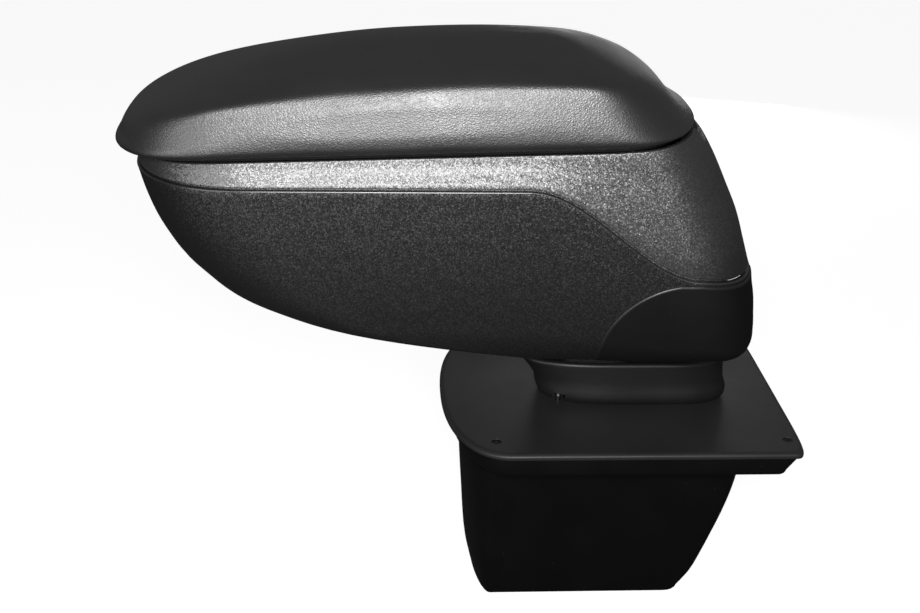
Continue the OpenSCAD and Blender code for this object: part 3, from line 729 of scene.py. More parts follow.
@dataclass
class ArmForm:
    """Outer form of the arm in millimetres, which its shells, cheeks and lid share."""

    front: float = 247.0
    rear: float = 88.5
    width: float = 138.0
    floor: float = 157.2
    front_depth: float = 105.0
    rear_depth: float = 55.5
    band: float = 9.3
    wall: float = 2.6
    ledge: float = 1.1
    seam_gap: float = 0.4
    drop: tuple[float, float] = (-41.0, 52.0)
    tail_fall: float = 0.13
    axle: tuple[float, float] = (48.0, 171.7)
    plan: Plan = Plan(0.2, 0.13, 2.4, 2.6)
    screws: tuple[tuple[float, float], ...] = ((-190.0, 56.0), (-120.0, 56.0), (-60.0, 56.0), (62.0, 54.8))
    belly_levels: tuple[float, ...] = (0, 0.03, 0.06, 0.1, 0.17, 0.3, 0.48, 0.68, 0.86, 1)
    belly_front: tuple[float, ...] = (0.12, 0.222, 0.31, 0.43, 0.605, 0.782, 0.89, 0.953, 0.985, 1)
    belly_rear: tuple[float, ...] = (0.8, 0.93, 0.99, 1.03, 1.055, 1.06, 1.05, 1.035, 1.012, 1)
    belly_half: tuple[float, ...] = (0.64, 0.768, 0.812, 0.848, 0.891, 0.928, 0.961, 0.983, 0.994, 1)
    band_levels: tuple[float, ...] = (0, 0.15, 0.33, 0.52, 0.72, 0.88, 1)
    band_rear: tuple[float, ...] = (1, 0.955, 0.895, 0.81, 0.722, 0.643, 0.578)
    band_half: tuple[float, ...] = (1, 0.991, 0.981, 0.97, 0.956, 0.949, 0.944)

    @property
    def flat_line(self) -> float:
        """Height of the parting line along the front."""
        return self.floor + self.front_depth

    @property
    def low_line(self) -> float:
        """Height of the parting line over the hinge."""
        return self.floor + self.rear_depth

    def parting(self, x: np.ndarray | float) -> np.ndarray:
        """Height of the line between the shells, which drops in an S to the hinge."""
        x = np.asarray(x, float)
        fall = smooth((x - self.drop[0]) / (self.drop[1] - self.drop[0]))
        line = self.flat_line + (self.low_line - self.flat_line) * fall
        return line - self.tail_fall * np.maximum(0, x - self.drop[1])

    def seam(self, x: np.ndarray | float) -> np.ndarray:
        """Height of the seam under the lid, which dips at the nose and lifts at the rear."""
        x = np.asarray(x, float)
        climb = self.flat_line + self.band + 0.033 * (x + self.front) + 1.8 * smooth((x + self.front) / 60)
        return climb + 0.0014 * np.maximum(0, x + 5) ** 2

    def half_at(self, ring: np.ndarray, x: float, reach: float) -> float:
        """Gives the least half width of a ring between x - reach and x + reach."""
        near = ring[ring[:, 1] <= 0]
        return float(np.interp([x - reach, x + reach], near[:, 0], -near[:, 1]).min())

    def belly_span(self, v: float, inset: float) -> tuple[float, float, float]:
        """Front, rear and half width of the lower shell at a height fraction, moved in by inset."""
        rows = np.column_stack([self.belly_front, self.belly_rear, self.belly_half])
        front, rear, half = through(self.belly_levels, rows, np.array([v]))[0]
        return (-self.front * front + 1.3 * inset, self.rear * rear - inset, self.width / 2 * half - inset)

    def belly_ring(self, v: float, inset: float = 0.0, lift: float = 0.0, rise: float = 0.0) -> np.ndarray:
        """Ring of the lower shell.

        Args:
            v: Height fraction from the floor to the parting line.
            inset: How far inside the outer surface.
            lift: How far the floor is raised.
            rise: How far the whole ring is raised.

        Returns:
            The points.
        """
        outline = self.plan.outline(*self.belly_span(v, inset))
        low = self.floor + lift
        z = low + (self.parting(outline[:, 0]) - low) * v + rise
        return np.column_stack([outline, z])

    def band_ring(self, t: float, inset: float = 0.0, rise: float = 0.0) -> np.ndarray:
        """Ring of the upper shell at height fraction t, moved in by inset and up by rise."""
        rows = np.column_stack([self.band_rear, self.band_half])
        rear, half = through(self.band_levels, rows, np.array([t]))[0]
        outline = self.plan.outline(
            -self.front + self.ledge + inset,
            self.rear * rear - self.ledge * (1 - t) - inset,
            self.width / 2 * half - self.ledge - inset,
        )
        low = self.parting(outline[:, 0])
        z = low + (self.seam(outline[:, 0]) - self.seam_gap - low) * t + rise
        return np.column_stack([outline, z])


@dataclass
class LowerShell:
    """Lower half of the arm: a boat-shaped belly with a slot for the foot, and screw bosses."""

    form: ArmForm
    levels: int = 40
    rim_radius: float = 0.9
    slot_front: float = 24.0
    slot_half: float = 27.0
    slot_top: float = 203.9
    inner_levels: tuple[float, ...] = (0.9, 0.75, 0.6, 0.46, 0.33, 0.22, 0.14, 0.08, 0.04, 0.015, 0)
    boss_radius: float = 4.6
    boss_depth: float = 30.0
    rib_drop: float = 9.0
    rib_half: float = 1.5
    bite: float = 1.6
    bore: float = 1.9
    hub_face: float = 20.6
    hub_radius: float = 11.0
    hub_bore: float = 8.1
    hub_end: float = 55.0

    def shell(self) -> Piece:
        """Makes the wall with its rounded rim, and cuts the slot through floor and rear wall."""
        form = self.form
        heights = [(j / self.levels) ** 1.7 for j in range(self.levels)]
        rings = [form.belly_ring(v) for v in heights if v < 0.975]
        for inward, down in corner(self.rim_radius):
            rings.append(form.belly_ring(1.0, inward, rise=-down))
        rings.append(form.belly_ring(1.0, form.wall - 0.3))
        rings.append(form.belly_ring(1.0, form.wall, rise=-0.3))
        rings += [form.belly_ring(v, form.wall, form.wall) for v in self.inner_levels]
        piece = loft("lower_shell_skin", rings)
        low = (self.slot_front, -self.slot_half, form.floor - 5)
        high = (form.rear + 40, self.slot_half, self.slot_top)
        return cut(piece, [box_object("slot_tool", low, high)])

    def bosses(self) -> Piece:
        """Makes the screw bosses with their ribs, and the sleeves that hold the axle."""
        form, parts = self.form, []
        for x, y in form.screws:
            top = float(form.parting(x)) - 0.2
            low = top - self.boss_depth
            foot = low - self.rib_drop
            v = (foot - form.floor) / (top - form.floor)
            wall_y = form.half_at(form.belly_ring(v, self.bite), x, self.rib_half) - 0.2
            profile = sleeve(self.bore, self.boss_radius, low, top)
            for side in (-1, 1):
                parts.append(turned("boss", profile, (x, side * y, 0), "Z", 28))
                ends = sorted((side * y, side * wall_y))
                corners = (x - self.rib_half, ends[0], foot), (x + self.rib_half, ends[1], top)
                parts.append(box_object("rib", *corners))
        x, z = form.axle
        for side in (-1, 1):
            ends = sorted((side * self.hub_face, side * self.hub_end))
            parts.append(turned("hub", sleeve(self.hub_bore, self.hub_radius, *ends), (x, 0, z), "Y"))
        piece = joined_pieces("lower_shell_bosses", parts)
        shade(piece, 30)
        return piece

    def build(self) -> None:
        """Builds and dresses the lower shell, whose rounded rim is bare, shinier and painted a lighter grey
        as a highlight.
        """
        form = self.form
        shell = settle(self.shell(), "arm", BELLY_ABS_PAINTED_DARKER, Slot.TEXTURED, "lower_shell")

        def on_rim(face: bpy.types.MeshPolygon) -> bool:
            """Says whether a face belongs to the rounded rim."""
            x, _, z = np.array(face.center) / MM
            return z > float(form.parting(x)) - self.rim_radius

        polish(shell, RIM_ABS_PAINTED_HIGHLIGHT, on_rim)
        settle(self.bosses(), "arm", BELLY_ABS_PAINTED_DARKER, Slot.TEXTURED)


@dataclass
class UpperShell:
    """Upper half of the arm: a wall from the parting line to the lid, with lugs for the screws."""

    form: ArmForm
    levels: int = 20
    groove: float = 1.4
    groove_height: float = 0.85
    groove_growth: float = 0.8
    rim_radius: float = 0.8
    lug: tuple[float, float, float] = (14.0, 5.2, 3.0)
    relief_front: float = 38.55
    relief_half: float = 36.0
    relief_floor: float = 278.8
    sharp_deg: float = 52.0
    screw_hole: float = 1.9
    lug_inset: float = 2.2

    def raised(self, ring: np.ndarray) -> np.ndarray:
        """Lifts a ring to the top of the groove, which grows taller down the parting line's S."""
        start, end = self.form.drop
        down = smooth((ring[:, 0] - start) / (end - start))
        ring[:, 2] += self.groove_height * (1 + self.groove_growth * down)
        return ring

    def shell(self) -> Piece:
        """Makes the wall, with a shadow groove over the parting line and room for the lid's hinge."""
        form = self.form
        rings = [form.band_ring(0, self.groove), self.raised(form.band_ring(0, self.groove))]
        for inward, down in reversed(corner(0.5, 3)):
            rings.append(self.raised(form.band_ring(0, inward, rise=down)))
        for j in range(1, self.levels):
            t = j / self.levels
            if t > 0.16:
                rings.append(form.band_ring(t))
        for inward, down in corner(self.rim_radius):
            rings.append(form.band_ring(1, inward, rise=-down))
        rings.append(form.band_ring(1, form.wall - 0.4))
        rings.append(form.band_ring(1, form.wall, rise=-0.4))
        for t in (0.85, 0.7, 0.55, 0.4, 0.25, 0.12, 0):
            rings.append(form.band_ring(t, form.wall))
        piece = loft("upper_shell_skin", rings, joined=True)
        low = (self.relief_front, -self.relief_half, self.relief_floor)
        high = (form.rear + 10, self.relief_half, self.relief_floor + 40)
        return cut(piece, [box_object("relief_tool", low, high)], self.sharp_deg)

    def lugs(self) -> Piece:
        """Makes the flat lugs that the screws clamp."""
        length, radius, height = self.lug
        parts = []
        for x, y in self.form.screws:
            z = float(self.form.parting(x))
            wall_y = self.form.half_at(self.form.band_ring(0, self.lug_inset), x, length / 2)
            profile = sleeve(self.screw_hole, radius, z, z + height)
            for side in (-1, 1):
                parts.append(turned("lug_eye", profile, (x, side * y, 0), "Z", 28))
                ends = sorted((side * (y + 3), side * wall_y))
                corners = (x - length / 2, ends[0], z), (x + length / 2, ends[1], z + height)
                parts.append(box_object("lug_web", *corners))
        piece = joined_pieces("upper_shell_lugs", parts)
        shade(piece, 30)
        return piece

    def build(self) -> None:
        """Builds and dresses the upper shell."""
        settle(self.shell(), "arm", BAND_ABS_PAINTED_LIGHTER, Slot.TEXTURED, "upper_shell")
        settle(self.lugs(), "arm", BAND_ABS_PAINTED_LIGHTER, Slot.TEXTURED)


@dataclass
class HingeCheeks:
    """Smooth covers over both sides of the hinge, standing proud with a rounded edge."""

    form: ArmForm
    radius: float = 48.5
    centre_z: float = 162.7
    proud: float = 0.8
    bottom: float = 158.8
    top: float = 210.6
    slot_half: float = 27.0
    rows: int = 44
    columns: tuple[int, int] = (30, 34)
    roll: tuple[tuple[float, float], ...] = ((-0.74, -0.95), (-0.5, -0.4), (-0.15, -0.08), (0.6, 0.0))

    def row(self, z: float, inset: float, grow: float, side: int) -> np.ndarray:
        """Row of surface points at one height, from the arc round to the slot.

        Args:
            z: Height of the row in front of the tail.
            inset: How far inside the shell's outer surface.
            grow: How far the outline is moved out.
            side: -1 for the near side, 1 for the far side.

        Returns:
            The points.
        """
        form = self.form
        reach = math.sqrt(max(0.0, (self.radius + grow) ** 2 - (z - self.centre_z) ** 2))
        start = form.axle[0] - reach
        v_tail = (z - form.floor) / (float(form.parting(form.drop[1])) - form.floor)
        front, rear, half = form.belly_span(v_tail, inset)
        tail = form.plan.tail * (rear - front)
        flat, bend = self.columns
        points = []
        for i in range(flat):
            x = start + (rear - tail - start) * i / flat
            line = float(form.parting(x))
            height = z if x < form.drop[1] else form.floor + (line - form.floor) * v_tail
            v = (height - form.floor) / (line - form.floor)
            points.append((x, side * form.belly_span(v, inset)[2], height))
        power = form.plan.tail_power
        last = (1 - ((self.slot_half + 0.6 - grow) / half) ** power) ** (1 / power)
        for i in range(bend + 1):
            q = last * math.sin(math.pi / 2 * i / bend)
            x = rear - tail + tail * q
            line = float(form.parting(x))
            height = z if x < form.drop[1] else form.floor + (line - form.floor) * v_tail
            points.append((x, side * half * (1 - q**power) ** (1 / power), height))
        return np.array(points)

    def grid(self, inset: float, grow: float, side: int) -> np.ndarray:
        """All rows of the cover, close together near its top, where the arc runs level."""
        parts = [1 - (1 - j / self.rows) ** 1.6 for j in range(self.rows + 1)]
        low, high = self.bottom - grow, self.top + grow
        return np.array([self.row(low + (high - low) * f, inset, grow, side) for f in parts])

    def cover(self, side: int, name: str) -> Piece:
        """Makes one cover: its face, and a rolled edge that runs down into the shell."""
        face = self.grid(-self.proud, -1.5, side)
        rows, columns = face.shape[:2]
        edge = [(0, i) for i in range(columns)]
        edge += [(j, columns - 1) for j in range(1, rows)]
        edge += [(rows - 1, i) for i in range(columns - 2, -1, -1)]
        edge += [(j, 0) for j in range(rows - 2, 0, -1)]
        rolls = [self.grid(d, g, side) for d, g in self.roll]
        points = [face.reshape(-1, 3)] + [np.array([g[j, i] for j, i in edge]) for g in rolls]
        faces = [
            (j * columns + i, j * columns + i + 1, (j + 1) * columns + i + 1, (j + 1) * columns + i)
            for j in range(rows - 1)
            for i in range(columns - 1)
        ]
        size, turn = rows * columns, len(edge)
        inner = [j * columns + i for j, i in edge]
        for ring in range(len(rolls)):
            outer = [size + ring * turn + k for k in range(turn)]
            for k in range(turn):
                n = (k + 1) % turn
                faces.append((inner[n], inner[k], outer[k], outer[n]))
            inner = outer
        if side > 0:
            faces = [f[::-1] for f in faces]
        return mesh_object(name, np.vstack(points), faces, 60)

    def build(self) -> None:
        """Builds and dresses both covers, whose rolled edges are shinier and painted a lighter grey as a
        highlight.
        """
        flat = self.rows * sum(self.columns)
        for side, place in ((-1, "near"), (1, "far")):
            cover = self.cover(side, f"hinge_cheek_{place}")
            settle(cover, "arm", CHEEK_ABS, Slot.SMOOTH, f"cheek_{place}")
            polish(cover, EDGE_ABS_PAINTED_HIGHLIGHT, lambda face: face.index >= flat)


@dataclass
class PaddedLid:
    """Lid: a thin base board, and foam under leatherette that is tucked round its edge."""

    form: ArmForm
    plan: Plan = Plan(0.22, 0.14, 2.3, 2.5, (24, 40, 22))
    pad_plan: Plan = Plan(0.19, 0.14, 2.5, 2.5, (24, 40, 22))
    board: float = 2.0
    crown: float = 50.0
    crown_x: float = -55.0
    crown_fall: tuple[float, float] = (0.0008, 0.00062)
    width: float = 134.6
    front: float = 257.5
    start_inset: float = 0.8
    swell_limit: float = 0.9
    cloth_frames: int = 20
    hem_fade: tuple[float, float] = (5.0, 25.0)
    rows: tuple[tuple[float, float, float, float], ...] = (
        (-0.034, 7.4, 51.0, 0.955),
        (0.0, 4.0, 51.4, 0.974),
        (0.025, 1.6, 50.5, 0.989),
        (0.06, 0.2, 48.8, 0.999),
        (0.14, 0.2, 44.6, 0.9985),
        (0.26, 2.2, 40.2, 0.987),
        (0.42, 4.2, 35.2, 0.968),
        (0.516, 5.8, 32.0, 0.958),
        (0.587, 7.6, 28.8, 0.9505),
        (0.638, 9.4, 26.0, 0.9445),
        (0.668, 11.0, 24.2, 0.94),
        (0.7, 13.6, 21.8, 0.9285),
        (0.75, 19.0, 16.5, 0.868),
        (0.82, 32.0, 9.0, 0.725),
        (0.9, 57.0, -4.5, 0.482),
        (1.0, 110.0, -31.0, 0.12),
        (1.003, 135.0, -45.0, 0.0),
    )

    def base(self) -> Piece:
        """Makes the board, with a notch for the hinge's knuckles."""
        form = self.form
        span = (-form.front - 3, form.rear * 0.53, form.width / 2 * 0.944 - 2.4)

        def ring(inset: float, lift: float) -> np.ndarray:
            """Ring of the board, along the seam."""
            outline = self.plan.outline(span[0] + inset, span[1] - inset, span[2] - inset)
            return np.column_stack([outline, form.seam(outline[:, 0]) + lift])

        piece = loft("lid_board", [ring(0.6, 0), ring(0.15, 0.15), ring(0, 0.5), ring(0, self.board)])
        return cut(piece, [box_object("notch_tool", (41.05, -27, 270), (80, 27, 300))])

    def surface_rows(self, count: int) -> np.ndarray:
        """Reads the pad's profile at even steps along its own length.

        Args:
            count: How many rows to give.

        Returns:
            Rows of crown fraction, front set-back, rear and half-width fraction.
        """
        rows = np.array(self.rows)
        steps = np.hypot(np.diff(rows[:, 0]) * self.crown, np.diff(rows[:, 3]) * self.width / 2)
        keys = np.concatenate([[0], np.cumsum(steps)])
        return through(keys, rows, np.linspace(0, keys[-1], count))

    def pad_ring(self, row: np.ndarray, inset: float) -> np.ndarray:
        """Ring of the pad from one profile row, moved in by inset."""
        part, setback, rear, half = row
        half = max(0.0, half * self.width / 2 - inset)
        outline = self.pad_plan.outline(-self.front + setback + inset, rear - inset, half)
        x = outline[:, 0]
        low = self.form.seam(x) + self.board
        fall = np.where(x < self.crown_x, *self.crown_fall)
        top = float(self.form.seam(self.crown_x)) + self.crown - fall * (x - self.crown_x) ** 2 - inset
        if part < 0:
            fade = smooth((x - self.hem_fade[0]) / (self.hem_fade[1] - self.hem_fade[0]))
            part = part * (1 - fade)
        return np.column_stack([outline, low + (top - low) * part])

    def pad(self) -> Piece:
        """Makes the stuffed pad: a crowned skin that pressure swells against its tucked edge."""
        rings = [self.pad_ring(row, self.start_inset) for row in self.surface_rows(44)]
        around = len(rings[0])
        faces = ring_faces(len(rings), around) + strip_cap(around, 0, False)
        piece = mesh_object("stuffed_pad", np.vstack(rings), faces, 70)
        mesh = bmesh.new()
        mesh.from_mesh(piece.data)
        bmesh.ops.remove_doubles(mesh, verts=mesh.verts, dist=0.05 * MM)
        mesh.to_mesh(piece.data)
        mesh.free()
        shade(piece, 70)
        self.swell(piece)
        smoother = piece.modifiers.new("smooth", "SUBSURF")
        smoother.levels = smoother.render_levels = 1
        applied(piece)
        shade(piece, 70)
        return piece

    def swell(self, piece: Piece) -> None:
        """Blows the skin up a little with cloth, and keeps the tucked edge where it is."""
        start = np.array([v.co for v in piece.data.vertices])
        tucked = piece.vertex_groups.new(name="tucked")
        for v in piece.data.vertices:
            lift = v.co.z / MM - float(self.form.seam(v.co.x / MM)) - self.board
            if lift < 0.6:
                tucked.add([v.index], 1.0, "REPLACE")
        cloth = piece.modifiers.new("stuffing", "CLOTH")
        cloth.settings.use_pressure = True
        cloth.settings.uniform_pressure_force = 4
        cloth.settings.effector_weights.gravity = 0
        cloth.settings.vertex_group_mass = "tucked"
        cloth.settings.quality = 6
        cloth.settings.mass = 0.4
        cloth.settings.tension_stiffness = 40
        cloth.settings.compression_stiffness = 40
        cloth.settings.shear_stiffness = 20
        cloth.settings.bending_stiffness = 6
        cloth.collision_settings.use_collision = False
        cloth.point_cache.frame_start = 1
        cloth.point_cache.frame_end = self.cloth_frames
        for frame in range(1, self.cloth_frames + 1):
            bpy.context.scene.frame_set(frame)
        applied(piece)
        bpy.context.scene.frame_set(1)
        moved = np.array([v.co for v in piece.data.vertices]) - start
        moved = self.evened(piece, moved)
        far = np.linalg.norm(moved, axis=1)
        limit = self.swell_limit * MM
        kept = start + moved * np.minimum(1, limit / np.maximum(far, 1e-9))[:, None]
        piece.data.vertices.foreach_set("co", kept.astype(np.float32).ravel())
        piece.data.update()
        log.info("pad swelled by %.1f mm at most", far.max() / MM)

    def evened(self, piece: Piece, moved: np.ndarray, passes: int = 12) -> np.ndarray:
        """Averages each vertex's move with its neighbours', so that the stretched skin has no wrinkles.

        Args:
            piece: The pad.
            moved: The move of each vertex.
            passes: How often it is averaged.

        Returns:
            The evened moves.
        """
        ends = np.array([e.vertices[:] for e in piece.data.edges])
        for _ in range(passes):
            total, count = moved.copy(), np.ones(len(moved))
            for a, b in (ends.T, ends.T[::-1]):
                np.add.at(total, a, moved[b])
                np.add.at(count, a, 1)
            moved = total / count[:, None]
        return moved

    def build(self) -> None:
        """Builds and dresses the lid."""
        settle(self.base(), "lid", CHEEK_ABS, Slot.SMOOTH, "lid_base")
        pad = settle(self.pad(), "lid", LEATHERETTE, Slot.LEATHERETTE, "pad_cover", "pad_foam")


@dataclass
class ConsoleInsert:
    """Tapered tub with a collar, and the plate that closes it."""

    plan: Plan = Plan(0.06, 0.07, 2.0, 3.0, (16, 12, 14))
    plate_plan: Plan = Plan(0.19, 0.05, 2.3, 6.0, (26, 12, 20))
    collar_plan: Plan = Plan(0.19, 0.05, 2.3, 6.0, (16, 12, 14))
    height: float = 99.0
    front: float = 71.5
    rear: float = 93.0
    half: float = 59.0
    base_half_length: float = 58.5
    base_half: float = 47.0
    edge: float = 4.0
    bow_start: float = 52.0
    wall: float = 2.6
    collar_height: float = 11.6
    collar_flare: float = 6.5
    plate_span: tuple[float, float, float] = (-82.0, 119.0, 78.5)
    collar_margin: tuple[float, float, float] = (5.5, 8.0, 2.0)
    tub_levels: tuple[float, ...] = (
        0, 0.3, 0.8, 1.6, 2.7, 4, 8, 14, 20, 27, 35, 43, 51, 58, 66, 74, 82, 90, 97, 99
    )
    inner_levels: tuple[float, ...] = (99, 80, 58, 43, 27, 14, 4)
    thickness: float = 3.6
    screws: tuple[tuple[float, float], ...] = ((-53.0, 63.0), (111.0, 63.0))
    recess: tuple[float, float] = (2.7, 1.4)
    shares: tuple[tuple[float, float, float], ...] = (
        (0.14, 0.28, 0.24),
        (0.27, 0.44, 0.42),
        (0.43, 0.56, 0.6),
        (0.58, 0.68, 0.76),
        (0.8, 0.84, 0.93),
        (1.0, 1.0, 1.0),
    )

    def tub_ring(self, z: float, inset: float = 0.0) -> np.ndarray:
        """Ring of the tub's wall at height z, moved in by inset; both end walls bow in below."""
        toe, heel, base = self.base_half_length + 4, self.base_half_length + 7, self.base_half + 2
        keys = [self.edge] + [part * self.height for part, _, _ in self.shares]
        reach = [(toe, heel)] + [
            (toe + (self.front - toe) * ahead, heel + (self.rear - heel) * behind)
            for _, ahead, behind in self.shares
        ]
        climbed = max(z, self.edge)
        front, rear = through(keys, reach, np.array([climbed]))[0]
        half = base + (self.half - base) * (climbed - self.edge) / (self.height - self.edge)
        if z < self.edge:
            under = 1 - math.sqrt(max(0.0, 1 - (1 - z / self.edge) ** 2))
            front, rear, half = front - 4 * under, rear - 7 * under, half - 2 * under
        start, end = -front + inset, rear - inset
        plan = replace(self.plan, nose=(-self.bow_start - start) / (end - start))
        return level(plan.outline(start, end, half - inset), z)

    def tub(self) -> Piece:
        """Makes the open tub with the collar that stands round its top."""
        top = self.height + self.collar_height
        x0, x1, half = self.plate_span
        front_gap, rear_gap, side_gap = self.collar_margin
        x0, x1, half = x0 + front_gap, x1 - rear_gap, half - side_gap

        def collar(inset: float, z: float, lean: float = 0.0) -> np.ndarray:
            """Ring of the collar; lean moves its rear end out."""
            return level(self.collar_plan.outline(x0 + inset, x1 - inset + lean, half - inset), z)

        rings = [self.tub_ring(z) for z in self.tub_levels]
        rings += [
            collar(1.8, self.height),
            collar(1.2, self.height + 0.2),
            collar(0.6, self.height + 0.9),
            collar(0.2, self.height + 1.8),
            collar(0.0, self.height + 2.8),
            collar(0.0, top - 0.6, self.collar_flare - 0.4),
            collar(0.6, top, self.collar_flare),
        ]
        inner = self.tub_ring(self.height, self.wall)
        inner[:, 2] = top
        rings.append(inner)
        rings += [self.tub_ring(z, self.wall) for z in self.inner_levels]
        floor = self.tub_ring(self.edge, self.wall + 1)
        floor[:, 2] = self.wall
        rings.append(floor)
        return loft("tub_skin", rings, sharp_deg=28)

    def plate(self) -> Piece:
        """Makes the plate with a rolled top edge and a recess for each screw."""
        low = self.height + self.collar_height
        top = low + self.thickness
        x0, x1, half = self.plate_span

        def ring(inset: float, z: float) -> np.ndarray:
            """Ring of the plate."""
            return level(self.plate_plan.outline(x0 + inset, x1 - inset, half - inset), z)

        rings = [ring(0.8, low), ring(0.2, low + 0.3), ring(0, low + 0.8)]
        for inward, down in corner(2.3, 7):
            rings.append(ring(inward * 1.2, top - down * 0.8))
        rings += [ring(3.4, top), ring(4.4, top)]
        piece = loft("plate_skin", rings, sharp_deg=50)
        radius, depth = self.recess
        tools = []
        for x, y in self.screws:
            for side in (-1, 1):
                wide = radius + 0.5
                profile = [(radius, top - depth), (radius, top - 0.3), (wide, top + 0.2), (wide, top + 1)]
                tools.append(plug("recess_tool", profile, (x, side * y)))
        return cut(piece, tools, 32)

    def build(self) -> None:
        """Builds and dresses the insert."""
        settle(self.tub(), "base", TUB_ABS, Slot.SMOOTH, "tub")
        settle(self.plate(), "base", PLATE_ABS_PAINTED_SHEEN, Slot.SMOOTH, "plate")


def plug(
    name: str, profile: Sequence[tuple[float, float]], at: tuple[float, float], steps: int = 32
) -> Piece:
    """Makes a closed round solid from (radius, height) pairs, lowest first, at a plan point."""
    turns = np.linspace(0, 2 * math.pi, steps, endpoint=False)
    rings = [
        np.column_stack([at[0] + r * np.cos(turns), at[1] + r * np.sin(turns), np.full(steps, z)])
        for r, z in profile
    ]
    top = tuple(range((len(rings) - 1) * steps, len(rings) * steps))
    faces = ring_faces(len(rings), steps) + [tuple(range(steps - 1, -1, -1)), top]
    return mesh_object(name, np.vstack(rings), faces)


@dataclass
class Foot:
    """Drafted foot on the plate, with the post that carries the arm's axle."""

    plan: Plan = Plan(0.45, 0.3, 2.6, 2.8, (24, 6, 20))
    bottom: float = 114.2
    height: float = 27.5
    front: float = 36.0
    rear: float = 85.5
    half: float = 24.0
    post_radius: float = 19.0
    post_half: float = 18.0
    axle: tuple[float, float] = (48.0, 171.7)
    bush_radius: float = 7.5
    notch: tuple[float, float, float] = (-13.0, 3.5, 6.0)
    skirt_levels: tuple[float, ...] = (0, 0.25, 0.6, 1, 3, 6, 9, 12, 15, 18, 21, 23.5)
    post_edge: float = 0.8

    def skirt(self) -> Piece:
        """Makes the skirt, wider at its top, with a notch on each side."""
        low, top = self.bottom, self.bottom + self.height
        keys = [0, 1, 13.75, 25]
        rows = [
            (self.front - 14, self.rear + 0.5, self.half - 2.4),
            (self.front - 13, self.rear + 1.5, self.half - 1.4),
            (self.front - 8.45, self.rear + 0.6, self.half - 0.6),
            (self.front, self.rear, self.half),
        ]
        rings = []
        for z in self.skirt_levels:
            if z > 1:
                front, rear, half = through(keys, rows, np.array([z]))[0]
            else:
                front, rear, half = np.array(rows[0]) + (np.array(rows[1]) - rows[0]) * z
            rings.append(level(self.plan.outline(-front, rear, half), low + z))
        for inward, down in corner(2.4, 6):
            outline = self.plan.outline(-self.front + inward, self.rear - inward, self.half - inward)
            rings.append(level(outline, top - down))
        piece = loft("foot_skirt", rings, sharp_deg=55)
        x, reach, depth = self.notch
        spans = ((-60, -10), (10, 60))
        tools = [
            box_object("notch_tool", (x - reach, start, low - 2), (x + reach, end, low + depth))
            for start, end in spans
        ]
        return cut(piece, tools, 40)

    def post(self) -> Piece:
        """Makes the post: straight sides under a round head, bored for its bush."""
        x, z = self.axle
        steps = 40
        radius, foot = self.post_radius, self.bottom + self.height - 3
        turns = [math.pi * i / steps for i in range(steps + 1)]
        outline = [(x + radius, foot)]
        outline += [(x + radius * math.cos(a), z + radius * math.sin(a)) for a in turns]
        outline.append((x - radius, foot))
        points = np.array(outline)
        count = len(points)
        away = points - np.array([x, z])
        away = away / np.linalg.norm(away, axis=1)[:, None]
        half, edge = self.post_half, self.post_edge
        rings = []
        for y, inset in ((-half, edge), (-half + edge, 0), (half - edge, 0), (half, edge)):
            moved = points - away * inset
            rings.append(np.column_stack([moved[:, 0], np.full(count, y), moved[:, 1]]))
        faces = ring_faces(len(rings), count)
        faces += [
            tuple(range(count - 1, -1, -1)), tuple(range((len(rings) - 1) * count, len(rings) * count))
        ]
        faces = [f[::-1] for f in faces]
        piece = mesh_object("pivot_post", np.vstack(rings), faces, 30)
        radius = self.bush_radius
        bore = turned("bore_tool", [(0.01, -40), (radius, -40), (radius, 40), (0.01, 40)], (x, 0, z), "Y")
        return cut(piece, [bore], 30)

    def build(self) -> None:
        """Builds and dresses the foot."""
        settle(self.skirt(), "base", FOOT_ABS, Slot.SMOOTH, "foot")
        settle(self.post(), "base", FOOT_ABS, Slot.SMOOTH)


@dataclass
class Fittings:
    """Small CAD parts that keep their own shape and get a finish."""

    frame: dict[str, Any]
    dark: tuple[str, ...] = (
        "plate_screw",
        "shell_screw",
        "axle_clip",
        "catch_magnet",
        "foot_stud",
        "lid_pin",
    )

    def build(self) -> None:
        """Dresses every CAD node that still shows, by the record's slots."""
        slots = {s["node"]: Slot(s["material_slot"]) for s in self.frame["record"]["subparts"]}
        for name, piece in self.frame["nodes"].items():
            if piece.hide_render:
                continue
            finish = DARK_STEEL if name.startswith(self.dark) else SLOT_FINISH[slots[name]]
            piece.data.materials.clear()
            piece.data.materials.append(finish.material())
            log.info("%s: %s", name, finish.name)


